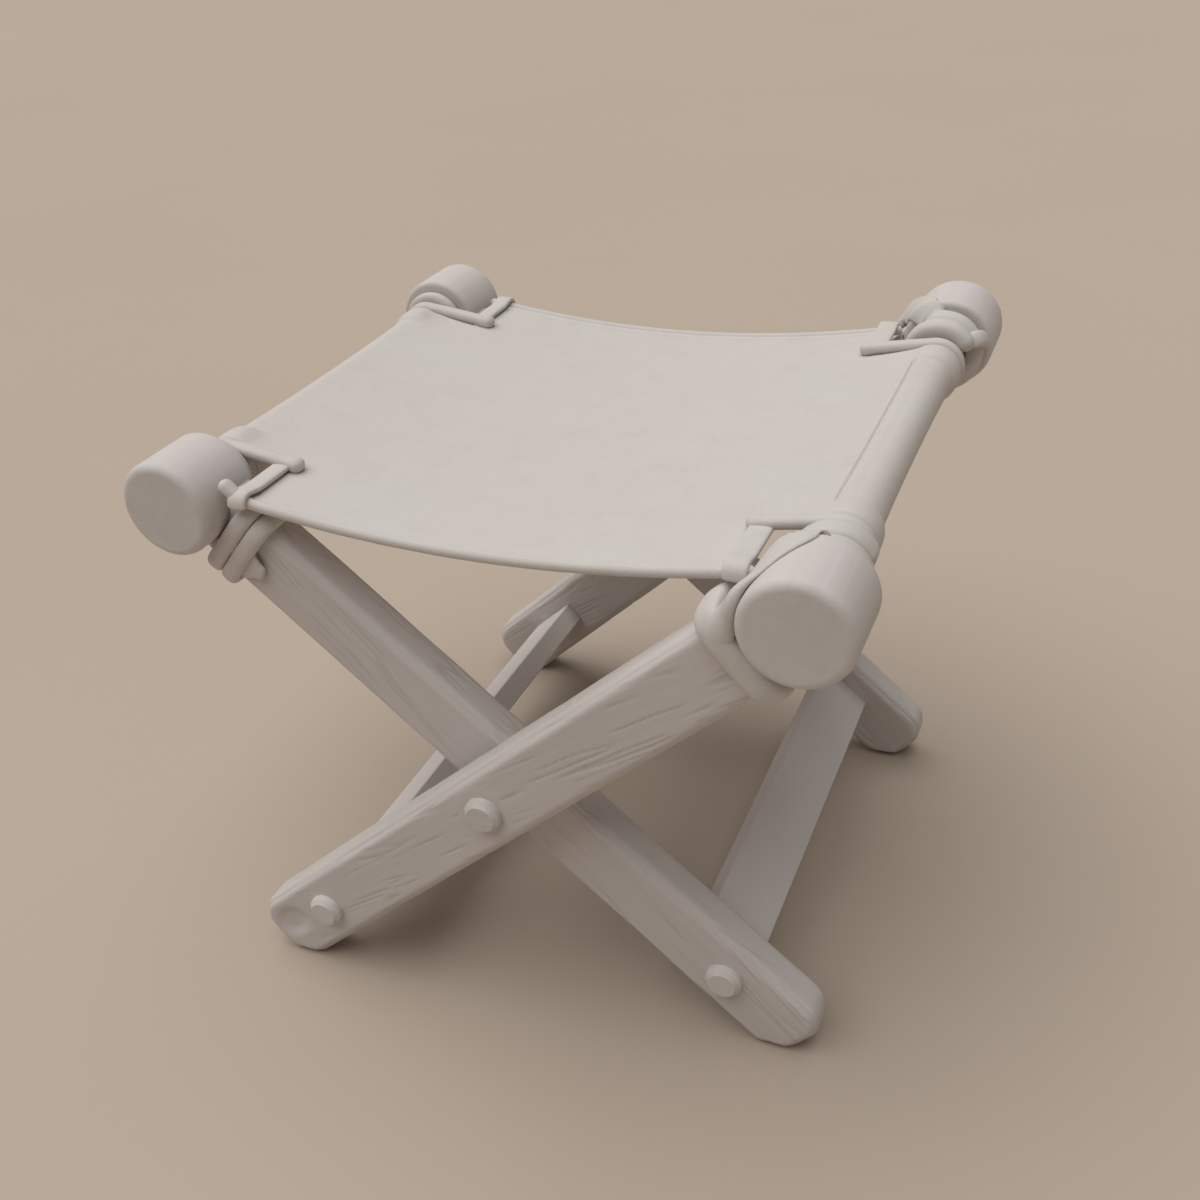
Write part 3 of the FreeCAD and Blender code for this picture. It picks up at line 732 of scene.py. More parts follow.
@dataclass
class HewnLeg:
    """One leg with whittled edges and carved grain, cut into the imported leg's shape."""

    layout: Layout
    side: Side
    end: End
    seed: float
    scoop: Optional[Scoop] = None
    voxel: float = 0.95 * MM
    squeeze: float = 0.36
    hewn_depth: float = 0.7 * MM
    edge_depth: float = 1.9 * MM
    groove_depth: float = 0.6 * MM
    groove_cell: float = 7.5 * MM
    groove_run: float = 135 * MM
    groove_tilt: float = 0.13
    groove_line: Span = (0.015, 0.12)
    groove_patch: Span = (-0.1, 0.25)
    groove_break: Span = (-0.3, 0.25)
    broad_scales: Triple = (55 * MM, 50 * MM, 50 * MM)
    facet_scales: Triple = (42 * MM, 60 * MM, 60 * MM)
    wave_scales: Triple = (35 * MM, 30 * MM, 30 * MM)
    patch_scales: Triple = (75 * MM, 24 * MM, 30 * MM)
    break_scales: Triple = (30 * MM, 9 * MM, 30 * MM)
    edge_rim: float = 0.29
    mark_rim: float = 0.2
    rim_loss: float = 0.7
    layer_shift: float = 17.4
    wave_share: float = 0.22
    plain_round_pin: Span = (19 * MM, 24 * MM)
    plain_round_peg: Span = (12 * MM, 16 * MM)
    peg_distance: float = 208 * MM

    @property
    def node(self) -> str:
        """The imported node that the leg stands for."""
        return f"leg_{self.side.letter}_{self.end.word}"

    def axes(self) -> Matrix:
        """Turn from the stool's axes to the leg's: along to the right, Y, and across towards the top."""
        slope = self.layout.slope * self.side.sign
        along = Vector((math.cos(slope), 0.0, math.sin(slope)))
        across = Vector((-math.sin(slope), 0.0, math.cos(slope)))
        return Matrix((along, (0.0, 1.0, 0.0), across)).to_4x4() @ Matrix.Translation(-self.layout.pivot)

    def remeshed(self) -> bpy.types.Mesh:
        """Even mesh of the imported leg, finer across it than along it.

        Returns:
            The mesh, in the leg's axes.
        """
        squeeze = Matrix.Diagonal((self.squeeze, 1.0, 1.0, 1.0))
        source = frame["nodes"][self.node].data.copy()
        source.transform(squeeze @ self.axes())
        stock = bpy.data.objects.new("leg_stock", source)
        bpy.context.scene.collection.objects.link(stock)
        remesh = stock.modifiers.new("even", "REMESH")
        remesh.mode = "VOXEL"
        remesh.voxel_size = self.voxel
        bpy.context.view_layer.update()
        ready = stock.evaluated_get(bpy.context.evaluated_depsgraph_get())
        mesh = bpy.data.meshes.new_from_object(ready)
        bpy.data.objects.remove(stock)
        bpy.data.meshes.remove(source)
        mesh.transform(squeeze.inverted())
        return mesh

    def carved(self, place: Vector, normal: Vector) -> Tuple[float, float]:
        """How deep the tool went at one point.

        Args:
            place: The point in the leg's axes.
            normal: The surface's direction there.

        Returns:
            The depth in metres, and the share of it that is a tool mark.
        """
        along, out, across = place
        upward, drift, seed = along * self.side.sign, across + self.groove_tilt * along, self.seed

        def rough(over: float, scales: Triple, shifts: Triple) -> float:
            """Noise with its scales and shifts along the leg, over its face and outward."""
            return noise.noise(Vector([p / s + t for p, s, t in zip((along, over, out), scales, shifts)]))

        clear = 1.0
        if abs(normal.y) >= 0.5:
            clear = min(smoothstep(*self.plain_round_pin, math.hypot(along, across)),
                        smoothstep(*self.plain_round_peg, math.hypot(upward + self.peg_distance, across)))
        rim = 1 - max(abs(normal.y), abs(normal.z), abs(normal.x))
        broad = rough(across, self.broad_scales, (seed, 0.0, 0.0))
        facet = rough(across, self.facet_scales, (3 * seed, 5.0, 0.0))
        depth = self.hewn_depth * (0.5 + 0.5 * broad)
        depth += self.edge_depth * min(rim / self.edge_rim, 1.0) * (0.5 + 0.5 * facet)
        wave = self.wave_share * rough(across, self.wave_scales, (0.0, seed, 0.0))
        patch = rough(drift, self.patch_scales, (2 * seed, 0.0, 9.0))
        broken = rough(drift, self.break_scales, (seed, 0.0, 4.0))
        groove = 0.0
        for layer, share in enumerate((patch, -patch)):
            line = rough(drift, (self.groove_run, self.groove_cell, self.groove_cell),
                         (seed, wave + self.layer_shift * layer, 0.0))
            groove += (1 - smoothstep(*self.groove_line, abs(line))) * smoothstep(*self.groove_patch, share)
        mark = min(groove, 1.0) * smoothstep(*self.groove_break, broken)
        mark *= clear * (1 - self.rim_loss * min(rim / self.mark_rim, 1.0))
        if not self.scoop or normal.y * self.end.sign <= 0.1:
            return depth * clear + self.groove_depth * mark, mark
        reach = math.hypot((upward - self.scoop.along) / self.scoop.reach[0],
                           (across - self.scoop.across) / self.scoop.reach[1])
        hollow = 1 - smoothstep(*self.scoop.fall, reach)
        mark *= smoothstep(*self.scoop.fade, reach)
        return (depth * clear + self.groove_depth * mark) * (1 - hollow) + self.scoop.depth * hollow, mark

    def build(self) -> bpy.types.Object:
        """Builds the carved leg.

        Returns:
            The leg, riding on its frame.
        """
        mesh = self.remeshed()
        mesh.name = f"hewn_{self.node}"
        places = rows_of_three(mesh.vertices, "co")
        normals = rows_of_three(mesh.vertex_normals, "vector")
        marks = np.zeros(len(places), np.float32)
        for index, (place, normal) in enumerate(zip(places.tolist(), normals.tolist())):
            depth, marks[index] = self.carved(Vector(place), Vector(normal))
            places[index] -= normals[index] * depth
        mesh.vertices.foreach_set("co", places.ravel())
        mesh.attributes.new(MARKS, "FLOAT", "POINT").data.foreach_set("value", marks)
        mesh.transform(self.axes().inverted())
        mesh.polygons.foreach_set("use_smooth", [True] * len(mesh.polygons))
        mesh.update()
        leg = bpy.data.objects.new(mesh.name, mesh)
        bpy.context.scene.collection.objects.link(leg)
        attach(leg, self.side.body)
        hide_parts(self.node)
        return leg


@dataclass
class CrossedFrames:
    """The two wooden frames: hewn legs, turned rails, stretchers, pegs and their pins."""

    layout: Layout
    finishes: Finishes
    grooves: dict = field(default_factory=lambda: {Side.LEFT: 0.55 * MM, Side.RIGHT: 0.65 * MM})
    seed_step: float = 7.3
    worn_toe: Scoop = Scoop(along=-255 * MM, across=6 * MM, reach=(22 * MM, 16 * MM), depth=3.2 * MM)

    def build(self) -> list:
        """Builds the legs and dresses the turned and sawn pieces.

        Returns:
            The new pieces.
        """
        legs = []
        for number, (side, end) in enumerate((s, e) for s in Side for e in End):
            worn = self.worn_toe if (side, end) == (Side.RIGHT, End.FRONT) else None
            leg = HewnLeg(self.layout, side, end, seed=self.seed_step * (number + 1), scoop=worn,
                          groove_depth=self.grooves[side]).build()
            dress(leg, self.finishes.legs[side])
            legs.append(leg)
        self.dress_nodes()
        return legs

    def dress_nodes(self) -> None:
        """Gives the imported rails, stretchers, pegs and tenon pins their wood."""
        nodes = frame["nodes"]
        for side in Side:
            dress(nodes[f"rail_{side.word}"], self.finishes.turned_wood)
            dress(nodes[f"stretcher_{side.letter}"], self.finishes.sawn_wood)
            for end in End:
                dress(nodes[f"peg_{side.letter}_{end.word}"], self.finishes.peg_wood)
                dress(nodes[f"tenon_pin_{side.letter}_{end.word}"], self.finishes.peg_wood)


@dataclass
class PivotPins:
    """The pivot pins with their roves and washers."""

    finishes: Finishes

    def dress(self) -> None:
        """Gives the pins, roves and washers their paint."""
        for end in End:
            for kind in ("pin", "rove", "washer"):
                dress(frame["nodes"][f"pivot_{kind}_{end.word}"], self.finishes.iron)


# Leather


def hang(piece: bpy.types.Object) -> bpy.types.Object:
    """Bakes a soft piece's placement into its mesh."""
    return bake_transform(piece)


@dataclass
class Sling:
    """Sagging leather sheet with a sleeve round each rail, notched corners and rolled hems."""

    layout: Layout
    finishes: Finishes
    sleeve_end: float = 138.5 * MM
    notch_x: float = 168 * MM
    wrap: float = math.radians(322)
    waist_radius: float = 15.7 * MM
    flare: float = 2.0 * MM
    flare_power: float = 2.4
    cuff_width: float = 23 * MM
    cuff_rise: float = 3.2 * MM
    cuff_power: float = 0.28
    cuff_fade: float = 9 * MM
    sleeve_fade: float = 26 * MM
    seam_inset: float = 11 * MM
    seam_step: float = 1.0 * MM
    seam_groove: float = 2.1 * MM
    seam_width: float = 1.35 * MM
    lip_rise: Span = (-0.8 * MM, 0.5 * MM)
    lip_fade: float = 16 * MM
    hem_radius: float = 3.8 * MM
    hem_flap: float = 9.5 * MM
    hem_step: float = 0.7 * MM
    flap_rise: Span = (-0.3 * MM, 1.2 * MM)
    flap_groove: float = 0.9 * MM
    hem_inset: float = 40 * MM
    stub_run: float = 18 * MM
    stub_rise: float = 8 * MM
    stub_swell: Span = (0.5, 0.2)
    swell_run: float = 22 * MM
    lump: float = 0.05
    lump_scale: float = 30 * MM
    edge_round: float = 0.8
    ripple: float = 0.45 * MM
    ripple_scales: Span = (70 * MM, 80 * MM)
    sheet: Optional[bpy.types.Object] = None
    hems: list = field(default_factory=list)
    flat: Triple = (0.0, 0.0, 0.0)

    def columns(self) -> list:
        """Places across the sheet, from the left sleeve's lap over the panel to the right one's.

        Returns:
            Pairs of the side's sign and the run from the middle, in metres along the sheet.
        """
        lay = self.layout
        seam = lay.sheet_run(lay.rail_x - self.seam_inset)
        runs = stations(0.0, (lay.sheet_run(self.notch_x), 33), (seam - 4 * MM, 11), (seam + 3 * MM, 14),
                        (lay.sheet_edge, 3), (lay.sheet_edge + self.wrap * lay.sleeve_radius, 43))
        return [(-1, run) for run in reversed(runs[1:])] + [(1, run) for run in runs]

    def rows(self) -> list:
        """Places along Y, closer together at the cuffs and the hems."""
        hem = self.layout.hem_place
        flap = hem - self.hem_flap
        places = stations(0.0, (self.sleeve_end - self.cuff_width - 4 * MM, 23), (self.sleeve_end, 19),
                          (flap - 3 * MM, 9), (flap + 2 * MM, 8), (hem, 3))
        return [-p for p in reversed(places[1:])] + places

    def skin(self, sign: int, run: float, along: float) -> Tuple[Vector, Vector]:
        """Upper and lower face of the sheet at one place.

        Args:
            sign: The side's sign.
            run: Distance from the middle along the sheet.
            along: The place along Y.

        Returns:
            The two points.
        """
        lay = self.layout
        share = min(abs(along) / self.sleeve_end, 1.0)
        sleeve = self.waist_radius + self.flare * share ** self.flare_power
        into = abs(along) - (self.sleeve_end - self.cuff_width)
        cuff = 0.0
        if 0 < into <= self.cuff_width:
            cuff = self.cuff_rise * math.sin(math.pi * min(into / self.cuff_width, 1.0)) ** self.cuff_power
        past = run - lay.sheet_edge
        if past <= 0:
            angle = run / lay.sag_radius
            across = lay.sag_radius * math.sin(angle)
            middle, outward = Vector((0.0, lay.sag_centre)), Vector((-math.sin(angle), math.cos(angle)))
            near = bell(past, self.sleeve_fade)
            raised = (sleeve - lay.sleeve_radius) * near + cuff * bell(past, self.cuff_fade)
            if sign > 0:
                off = lay.rail_x - across - self.seam_inset
                lip = self.seam_step * (1 - smoothstep(*self.lip_rise, off))
                lip *= bell(max(-off, 0.0), self.lip_fade)
                groove = self.seam_groove * bell(off, self.seam_width, 4)
                raised += (lip - groove) * (1 - smoothstep(-1.0 * MM, 1.0 * MM, into))
            flap = abs(along) - (lay.hem_place - self.hem_flap)
            raised += self.hem_step * (smoothstep(*self.flap_rise, flap) - 0.5 * bell(flap, self.flap_groove))
            wide, long = self.ripple_scales
            cloud = noise.noise(Vector((sign * across / wide, along / long, 4.0)))
            raised += self.ripple * cloud * (1 - near)
            heights = (raised - lay.sag_radius, -lay.sag_radius - lay.leather)
        else:
            angle = math.pi / 2 + lay.sag_angle - past / lay.sleeve_radius
            middle, outward = Vector((lay.rail_x, lay.rail_z)), Vector((math.cos(angle), math.sin(angle)))
            lap = 1 - smoothstep(0.8, 1.0, past / (self.wrap * lay.sleeve_radius))
            heights = (sleeve + cuff * lap, sleeve - lay.leather)
        top, low = (middle + outward * height for height in heights)
        return Vector((sign * top.x, along, top.y)), Vector((sign * low.x, along, low.y))

    def build_sheet(self) -> bpy.types.Object:
        """Builds the sheet with its sleeves as one closed skin with rounded edges.

        Returns:
            The sheet.
        """
        columns, rows = self.columns(), self.rows()
        wide, long = len(columns), len(rows)
        faces_at = np.array([[self.skin(sign, run, along) for along in rows] for sign, run in columns])
        top, low = faces_at[:, :, 0], faces_at[:, :, 1]
        runs = np.array([run for _, run in columns])
        notch_run = self.layout.sheet_run(self.notch_x)
        open_columns = np.maximum(runs[:-1], runs[1:]) > notch_run + HAIR
        ends = np.abs(np.array(rows))
        open_rows = np.maximum(ends[:-1], ends[1:]) > self.sleeve_end + HAIR
        kept = ~(open_columns[:, None] & open_rows[None, :])
        points, faces, number = [], [], {}

        def corner(layer: int, column: int, row: int) -> int:
            """Number of a corner of the upper or lower face, made when first used."""
            key = (layer, column, row)
            if key not in number:
                number[key] = len(points)
                points.append((top, low)[layer][column, row])
            return number[key]

        rims, leans = [], {}
        for column in range(wide - 1):
            for row in range(long - 1):
                if not kept[column, row]:
                    continue
                loop = ((column, row), (column + 1, row), (column + 1, row + 1), (column, row + 1))
                faces.append([corner(0, *c) for c in loop])
                faces.append([corner(1, *c) for c in reversed(loop)])
                centre = sum(top[c] + low[c] for c in loop) / 8
                beside = ((column, row - 1), (column + 1, row), (column, row + 1), (column - 1, row))
                for side, (next_column, next_row) in enumerate(beside):
                    inside = 0 <= next_column < wide - 1 and 0 <= next_row < long - 1
                    if inside and kept[next_column, next_row]:
                        continue
                    first, second = loop[side], loop[(side + 1) % 4]
                    rims.append((first, second))
                    lean = (top[first] + low[first] + top[second] + low[second]) / 4 - centre
                    lean /= np.linalg.norm(lean)
                    for c in (first, second):
                        leans[c] = leans.get(c, 0) + lean
        for c, lean in leans.items():
            middle = (top[c] + low[c]) / 2
            number[(2, *c)] = len(points)
            half = np.linalg.norm(top[c] - low[c]) / 2
            points.append(middle + lean / np.linalg.norm(lean) * half * self.edge_round)
        for first, second in rims:
            for upper, lower in ((0, 2), (2, 1)):
                faces.append((number[(upper, *first)], number[(upper, *second)],
                              number[(lower, *second)], number[(lower, *first)]))
        spans = np.linalg.norm(np.diff(top, axis=0), axis=2)
        lengths = np.diff(np.array(rows))
        cells = (spans[:, :-1] + spans[:, 1:]) / 2 * lengths[None, :]
        self.flat = (float(spans[:, long // 2].sum()), 2 * self.layout.hem_place, float((cells * kept).sum()))
        self.sheet = new_piece("leather_seat", points, faces)
        return self.sheet

    def build_hems(self) -> list:
        """Builds the rolled hems, which stand out past the notches as short stubs.

        Returns:
            The front and the back hem.
        """
        lay = self.layout
        reach = lay.rail_x - self.hem_inset
        section = StrapSection(2 * self.hem_radius, 2 * self.hem_radius, 2.0, 20)
        for end in End:
            stops = []
            for x in np.linspace(-reach, reach, 121):
                depth = math.sqrt((lay.sag_radius + lay.leather / 2) ** 2 - x * x)
                raised = 1.0 if end is End.FRONT and x < 0 else 0.0
                lift = raised * self.stub_rise * max(0.0, (abs(x) - reach) / self.stub_run + 1) ** 2
                swell = raised * smoothstep(reach - self.swell_run, reach, abs(x))
                lump = self.lump * noise.noise(Vector((x / self.lump_scale, end.sign * 3.0, 0.0)))
                stops.append(((x, end.sign * lay.hem_place, lay.sag_centre - depth + lift),
                              (-x / lay.sag_radius, 0.0, 1.0),
                              [1 + share * swell + lump for share in self.stub_swell]))
            self.hems.append(swept(f"rolled_hem_{end.word}", section, *arrays(stops)))
        return self.hems

    def build(self) -> list:
        """Builds, dresses and hangs the sling.

        Returns:
            The sheet and its hems.
        """
        self.build_sheet()
        self.build_hems()
        for piece in [self.sheet] + self.hems:
            dress(piece, self.finishes.seat)
            hang(piece)
        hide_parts("seat_sling")
        width, length, area = self.flat
        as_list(self.hems)
        LOG.info("seat cut flat %.3f by %.3f m, %.4f square metres", width, length, area)
        return [self.sheet] + self.hems


@dataclass
class CornerTie:
    """Tie at one corner: a ring round the rail, a bar to the sheet, and a strap hooked over the hem."""

    corner: Corner
    finishes: Finishes
    ring_place: float = 144.8 * MM
    ring_width: float = 10.8 * MM
    ring_thickness: float = 8.2 * MM
    bar_share: float = 1.05
    bar_lift: float = 0.45
    bulb: float = 0.16
    shaft: float = 13.3 * MM
    wrap: float = math.radians(318)
    bar_reach: float = 60 * MM
    strap_inset: float = 50.5 * MM
    strap_width: float = 14 * MM
    strap_thickness: float = 4.4 * MM
    hem_radius: float = 3.8 * MM
    hook_lead: float = 2.2
    hook_turn: Span = (100.0, -12.0)

    def ring_and_bar(self) -> bpy.types.Object:
        """Ring that leaves the rail as a bar over the sheet and ends in a rounded knob.

        Returns:
            The ring and bar.
        """
        at, lay = self.corner, self.corner.layout
        across = lay.rail_x - self.bar_reach
        rest = lay.sheet_top(across) - lay.rail_z + self.bar_share * self.ring_thickness * self.bar_lift
        ring = self.shaft + self.ring_thickness / 2
        leave = math.atan2(rest, self.bar_reach) + math.acos(ring / math.hypot(self.bar_reach, rest))
        stops = []
        for angle in np.linspace(leave + self.wrap, leave, 90):
            stops.append((at.point(ring * math.cos(angle), self.ring_place, ring * math.sin(angle)),
                          at.way(math.cos(angle), 0.0, math.sin(angle)), (1.0, 1.0)))
        start = (ring * math.cos(leave), ring * math.sin(leave))
        for share in np.linspace(0, 1, 34)[1:]:
            size = 1 + (self.bar_share - 1) * smoothstep(0.0, 0.5, share)
            size += self.bulb * smoothstep(0.84, 0.97, share)
            stops.append((at.point(start[0] + (self.bar_reach - start[0]) * share, self.ring_place,
                                   start[1] + (rest - start[1]) * share),
                          at.way(math.cos(leave), 0.0, math.sin(leave)), (size, size)))
        section = StrapSection(self.ring_width, self.ring_thickness, 2.3, 22)
        return swept(f"tie_ring_{at.name}", section, *arrays(stops))

    def strap(self) -> bpy.types.Object:
        """Flat strap from under the bar along the notch and over the hem.

        Returns:
            The strap.
        """
        at, lay = self.corner, self.corner.layout
        top = lay.sheet_top(lay.rail_x - self.strap_inset) - lay.rail_z
        hem = top - lay.leather / 2
        lie = top + self.strap_thickness / 2
        hook = self.hem_radius + self.strap_thickness / 2
        stops = [(at.point(self.strap_inset, y, lie), at.way(0.0, 0.0, 1.0)) for y in
                 np.linspace(self.ring_place - 1 * MM, lay.hem_place - self.hook_lead * hook, 16)]
        for angle in np.radians(np.linspace(*self.hook_turn, 18)):
            stops.append((at.point(self.strap_inset, lay.hem_place + hook * math.cos(angle),
                                   hem + hook * math.sin(angle)),
                          at.way(0.0, math.cos(angle), math.sin(angle))))
        points, facing = arrays(stops)
        points, facing = evenly(points, 1.6 * MM, facing)
        section = StrapSection(self.strap_width, self.strap_thickness, 3.4, 28)
        return swept(f"tie_strap_{at.name}", section, settled(points, 4), settled(facing, 6))

    def build(self) -> bpy.types.Object:
        """Builds, dresses and hangs the tie.

        Returns:
            The tie.
        """
        tie = joined(f"corner_tie_{self.corner.name}", [self.ring_and_bar(), self.strap()])
        dress(tie, self.finishes.strap)
        hang(tie)
        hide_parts(f"tie_{self.corner.name}")
        return tie


@dataclass
class Lashing:
    """Strap wound round a leg's top, then over or behind the knob and round the rail's neck."""

    corner: Corner
    finishes: Finishes
    width: float = 13 * MM
    thickness: float = 9 * MM
    play: float = 0.2 * MM
    lower: float = 55.5 * MM
    upper: float = 42.3 * MM
    collar: float = 48.5 * MM
    collar_share: float = 1.4
    collar_start: float = -0.72
    collar_taper: float = 0.2
    collar_tip: float = 0.35
    leave: float = 0.345
    rise_start: float = 54.0
    crest: float = 112.0
    foot: float = 128.0
    lean_power: float = 1.15
    rim_round: float = 6 * MM
    pressed: float = 1.3 * MM
    drape: float = 1.5
    past_back: float = 2 * MM
    climb_run: float = 0.35
    climb_shares: Span = (2.1, 0.45)
    neck_radius: float = 16 * MM
    neck_shares: Span = (1.32, 1.2)
    neck_turn: float = 430.0
    tuck_leave: float = 1.66
    tuck_start: float = 60.0
    tuck_turn: float = 270.0
    tuck_shares: Span = (0.78, 1.2)
    tuck_handle: float = 20 * MM
    tail_width: float = 28 * MM
    tail_thickness: float = 4 * MM
    tail_start: Span = (50 * MM, -8 * MM)
    tail_run: Span = (23 * MM, 5 * MM)
    tail_lift: Triple = (3.4 * MM, -1.6 * MM, 1.2 * MM)
    tail_point: float = 0.55
    knot_angle: float = -163.0
    knot_lean: float = 9.0
    knot_lift: float = 1.6 * MM
    knot_drop: float = 4.2 * MM
    knot_width: float = 13 * MM
    knot_thickness: float = 7 * MM
    knot_reach: float = 0.62
    knotted: bool = False
    tail: bool = False

    @property
    def stand(self) -> float:
        """Distance of the strap's middle from what it lies on."""
        return self.thickness / 2 + self.play

    @property
    def middle(self) -> float:
        """Place of the leg's middle along Y."""
        lay, side = self.corner.layout, self.corner.side
        return (lay.leg_faces[side] + lay.leg_insides[side]) / 2

    @property
    def half_thick(self) -> float:
        """Distance of the strap's middle line from the leg's middle, along Y."""
        lay, side = self.corner.layout, self.corner.side
        return (lay.leg_faces[side] - lay.leg_insides[side]) / 2 + self.stand

    def round_leg(self, share: float, down: float) -> Tuple[Vector, Vector]:
        """Place on the way round the leg, and the direction away from it.

        Args:
            share: Share of the turn from the lower edge's middle, outward first.
            down: Place down the leg from the rail.

        Returns:
            The point and the direction.
        """
        lay = self.corner.layout
        taper = (lay.leg_foot_width - lay.leg_top_width) / 2 / (lay.rail_reach + lay.foot_reach)
        tall = lay.leg_top_width / 2 + taper * down + self.stand
        deep = self.half_thick
        bend = lay.leg_edge + self.stand
        flat_y, flat_u, arc = deep - bend, tall - bend, bend * math.pi / 2
        sides = ((flat_y, 0), (arc, 1), (2 * flat_u, 0), (arc, 1), (2 * flat_y, 0), (arc, 1), (2 * flat_u, 0),
                 (arc, 1), (flat_y, 0))
        left = (share % 1.0) * sum(length for length, _ in sides)
        out, up, heading = 0.0, -tall, 0.0
        for length, curved in sides:
            run = min(left, length)
            if curved:
                turn = run / bend
                out += bend * (math.cos(heading) * math.sin(turn) - math.sin(heading) * (1 - math.cos(turn)))
                up += bend * (math.sin(heading) * math.sin(turn) + math.cos(heading) * (1 - math.cos(turn)))
                heading += turn
            else:
                out += run * math.cos(heading)
                up += run * math.sin(heading)
            left -= run
            if left <= 0:
                break
        away = self.corner.leg_way(0.0, -math.cos(heading), math.sin(heading))
        return self.corner.leg_point(down, up, self.middle + out), away

    def rail_stop(self, angle: float, reach: float, outward: float, turned: float,
                  shares: Triple) -> tuple:
        """One stop of the strap about the rail.

        Args:
            angle: Degrees about the rail, from down the leg towards its top.
            reach: Distance from the rail's axis.
            outward: Place along Y.
            turned: How far the strap faces along the rail to the seat's middle, not away from the rail.
            shares: Shares of the strap's width and thickness, and of its bend to the rail's round.

        Returns:
            The point, the direction that the strap faces, and the shares.
        """
        turn = math.radians(angle)
        down, up = math.cos(turn), math.sin(turn)
        return (self.corner.leg_point(reach * down, reach * up, outward),
                self.corner.leg_way(down * (1 - turned), up * (1 - turned), -turned), shares)

    def over_knob(self) -> list:
        """One broad turn round the leg, then over the knob, down its back and round the neck.

        Returns:
            Places, directions away from the wood, and shares of the strap's width, thickness and bend.
        """
        lay = self.corner.layout
        stops = []
        for share in np.linspace(self.collar_start, self.leave, 90):
            full = smoothstep(0.0, self.collar_taper, share - self.collar_start)
            full = self.collar_tip + (1 - self.collar_tip) * full
            stops.append((*self.round_leg(share, self.collar), (self.collar_share, full, 0.0)))
        wide, thin = self.climb_shares
        ring_wide, ring_thick = self.neck_shares
        outer = self.middle + self.half_thick
        back = lay.knob_back(self.corner.side)
        for share in np.linspace(0, 1, 48):
            eased = smoothstep(0.0, self.climb_run, share)
            width = self.collar_share + (wide - self.collar_share) * eased
            thick = 1 + (thin - 1) * eased
            stops.append(self.rail_stop(
                self.rise_start + (self.crest - self.rise_start) * share,
                lay.knob_radius + self.play + thick * self.thickness / 2 - self.pressed * eased,
                outer + (back + self.past_back - outer) * share ** self.lean_power, 0.0,
                (width, thick, eased)))
        over = lay.knob_radius + self.play + thin * self.thickness / 2 - self.pressed
        neck = self.neck_radius + self.play + ring_thick * self.thickness / 2
        for share in np.linspace(0, 1, 18)[1:]:
            thick = thin + (ring_thick - thin) * smoothstep(0.5, 1.0, share)
            stops.append(self.rail_stop(
                self.crest + (self.foot - self.crest) * share, over + (neck - over) * share,
                back - self.play - thick * self.thickness / 2,
                smoothstep(0.0, 0.3, share) * (1 - smoothstep(0.7, 1.0, share)),
                (wide + (ring_wide - wide) * share, thick, 1 - smoothstep(0.0, 0.3, share))))
        behind = back - ring_wide * self.width / 2 - self.play
        for angle in np.linspace(0, self.neck_turn, 180):
            outward = behind - ring_wide * self.width * angle / 360
            stops.append(self.rail_stop(self.foot + angle, neck, outward, 0.0, (ring_wide, ring_thick, 0.0)))
        return stops

    def behind_knob(self) -> list:
        """Two turns round the leg, then from its inner face behind the knob and round the neck.

        Returns:
            Places, directions away from the wood, and shares of the strap's width, thickness and bend.
        """
        at, lay = self.corner, self.corner.layout
        stops = []
        for share in np.linspace(0.0, self.tuck_leave, 150):
            down = self.lower + (self.upper - self.lower) * smoothstep(0.6, 1.04, share)
            stops.append((*self.round_leg(share, down), (1.0, 1.0, 0.0)))
        narrow, thick = self.tuck_shares
        reach = self.neck_radius + self.play + thick * self.thickness / 2
        neck_y = lay.knob_back(at.side) - self.width * narrow / 2 - self.play
        inner = self.middle - self.half_thick
        first = -math.radians(self.tuck_start)
        ends = (np.array((self.upper, lay.leg_top_width / 2 - lay.leg_edge)),
                reach * np.array((math.cos(first), math.sin(first))))
        handles = (ends[0] + np.array((0.0, -self.tuck_handle)),
                   ends[1] - self.tuck_handle * np.array((math.sin(first), -math.cos(first))))
        for share in np.linspace(0, 1, 40)[:-1]:
            keep = 1 - share
            place = (keep ** 3 * ends[0] + 3 * keep ** 2 * share * handles[0]
                     + 3 * keep * share ** 2 * handles[1] + share ** 3 * ends[1])
            blend = smoothstep(0.0, 0.6, share)
            away = at.leg_way(blend * math.cos(first), blend * math.sin(first), -(1 - blend) - 0.05)
            stops.append((at.leg_point(*place, inner + (neck_y - inner) * blend), away,
                          (1 + (narrow - 1) * blend, 1 + (thick - 1) * share, 0.0)))
        for angle in np.linspace(self.tuck_start, self.tuck_start + self.tuck_turn, 90):
            stops.append(self.rail_stop(-angle, reach, neck_y, 0.0, (*self.tuck_shares, 0.0)))
        return stops

    def wound(self) -> bpy.types.Object:
        """The whole winding as one strap.

        Returns:
            The winding.
        """
        stops = self.behind_knob() if self.corner.side is Side.LEFT else self.over_knob()
        points, facing, shares = arrays(stops)
        points, facing, shares = evenly(points, 1.7 * MM, facing, shares)
        points, facing, shares = settled(points, 10), settled(facing, 14), settled(shares, 10)
        section = StrapSection(self.width, self.thickness, 2.5, 24)
        strap = swept(f"wound_{self.corner.name}", section, points, facing, shares)
        self.bend(strap, section, points, facing, shares[:, 2])
        return strap

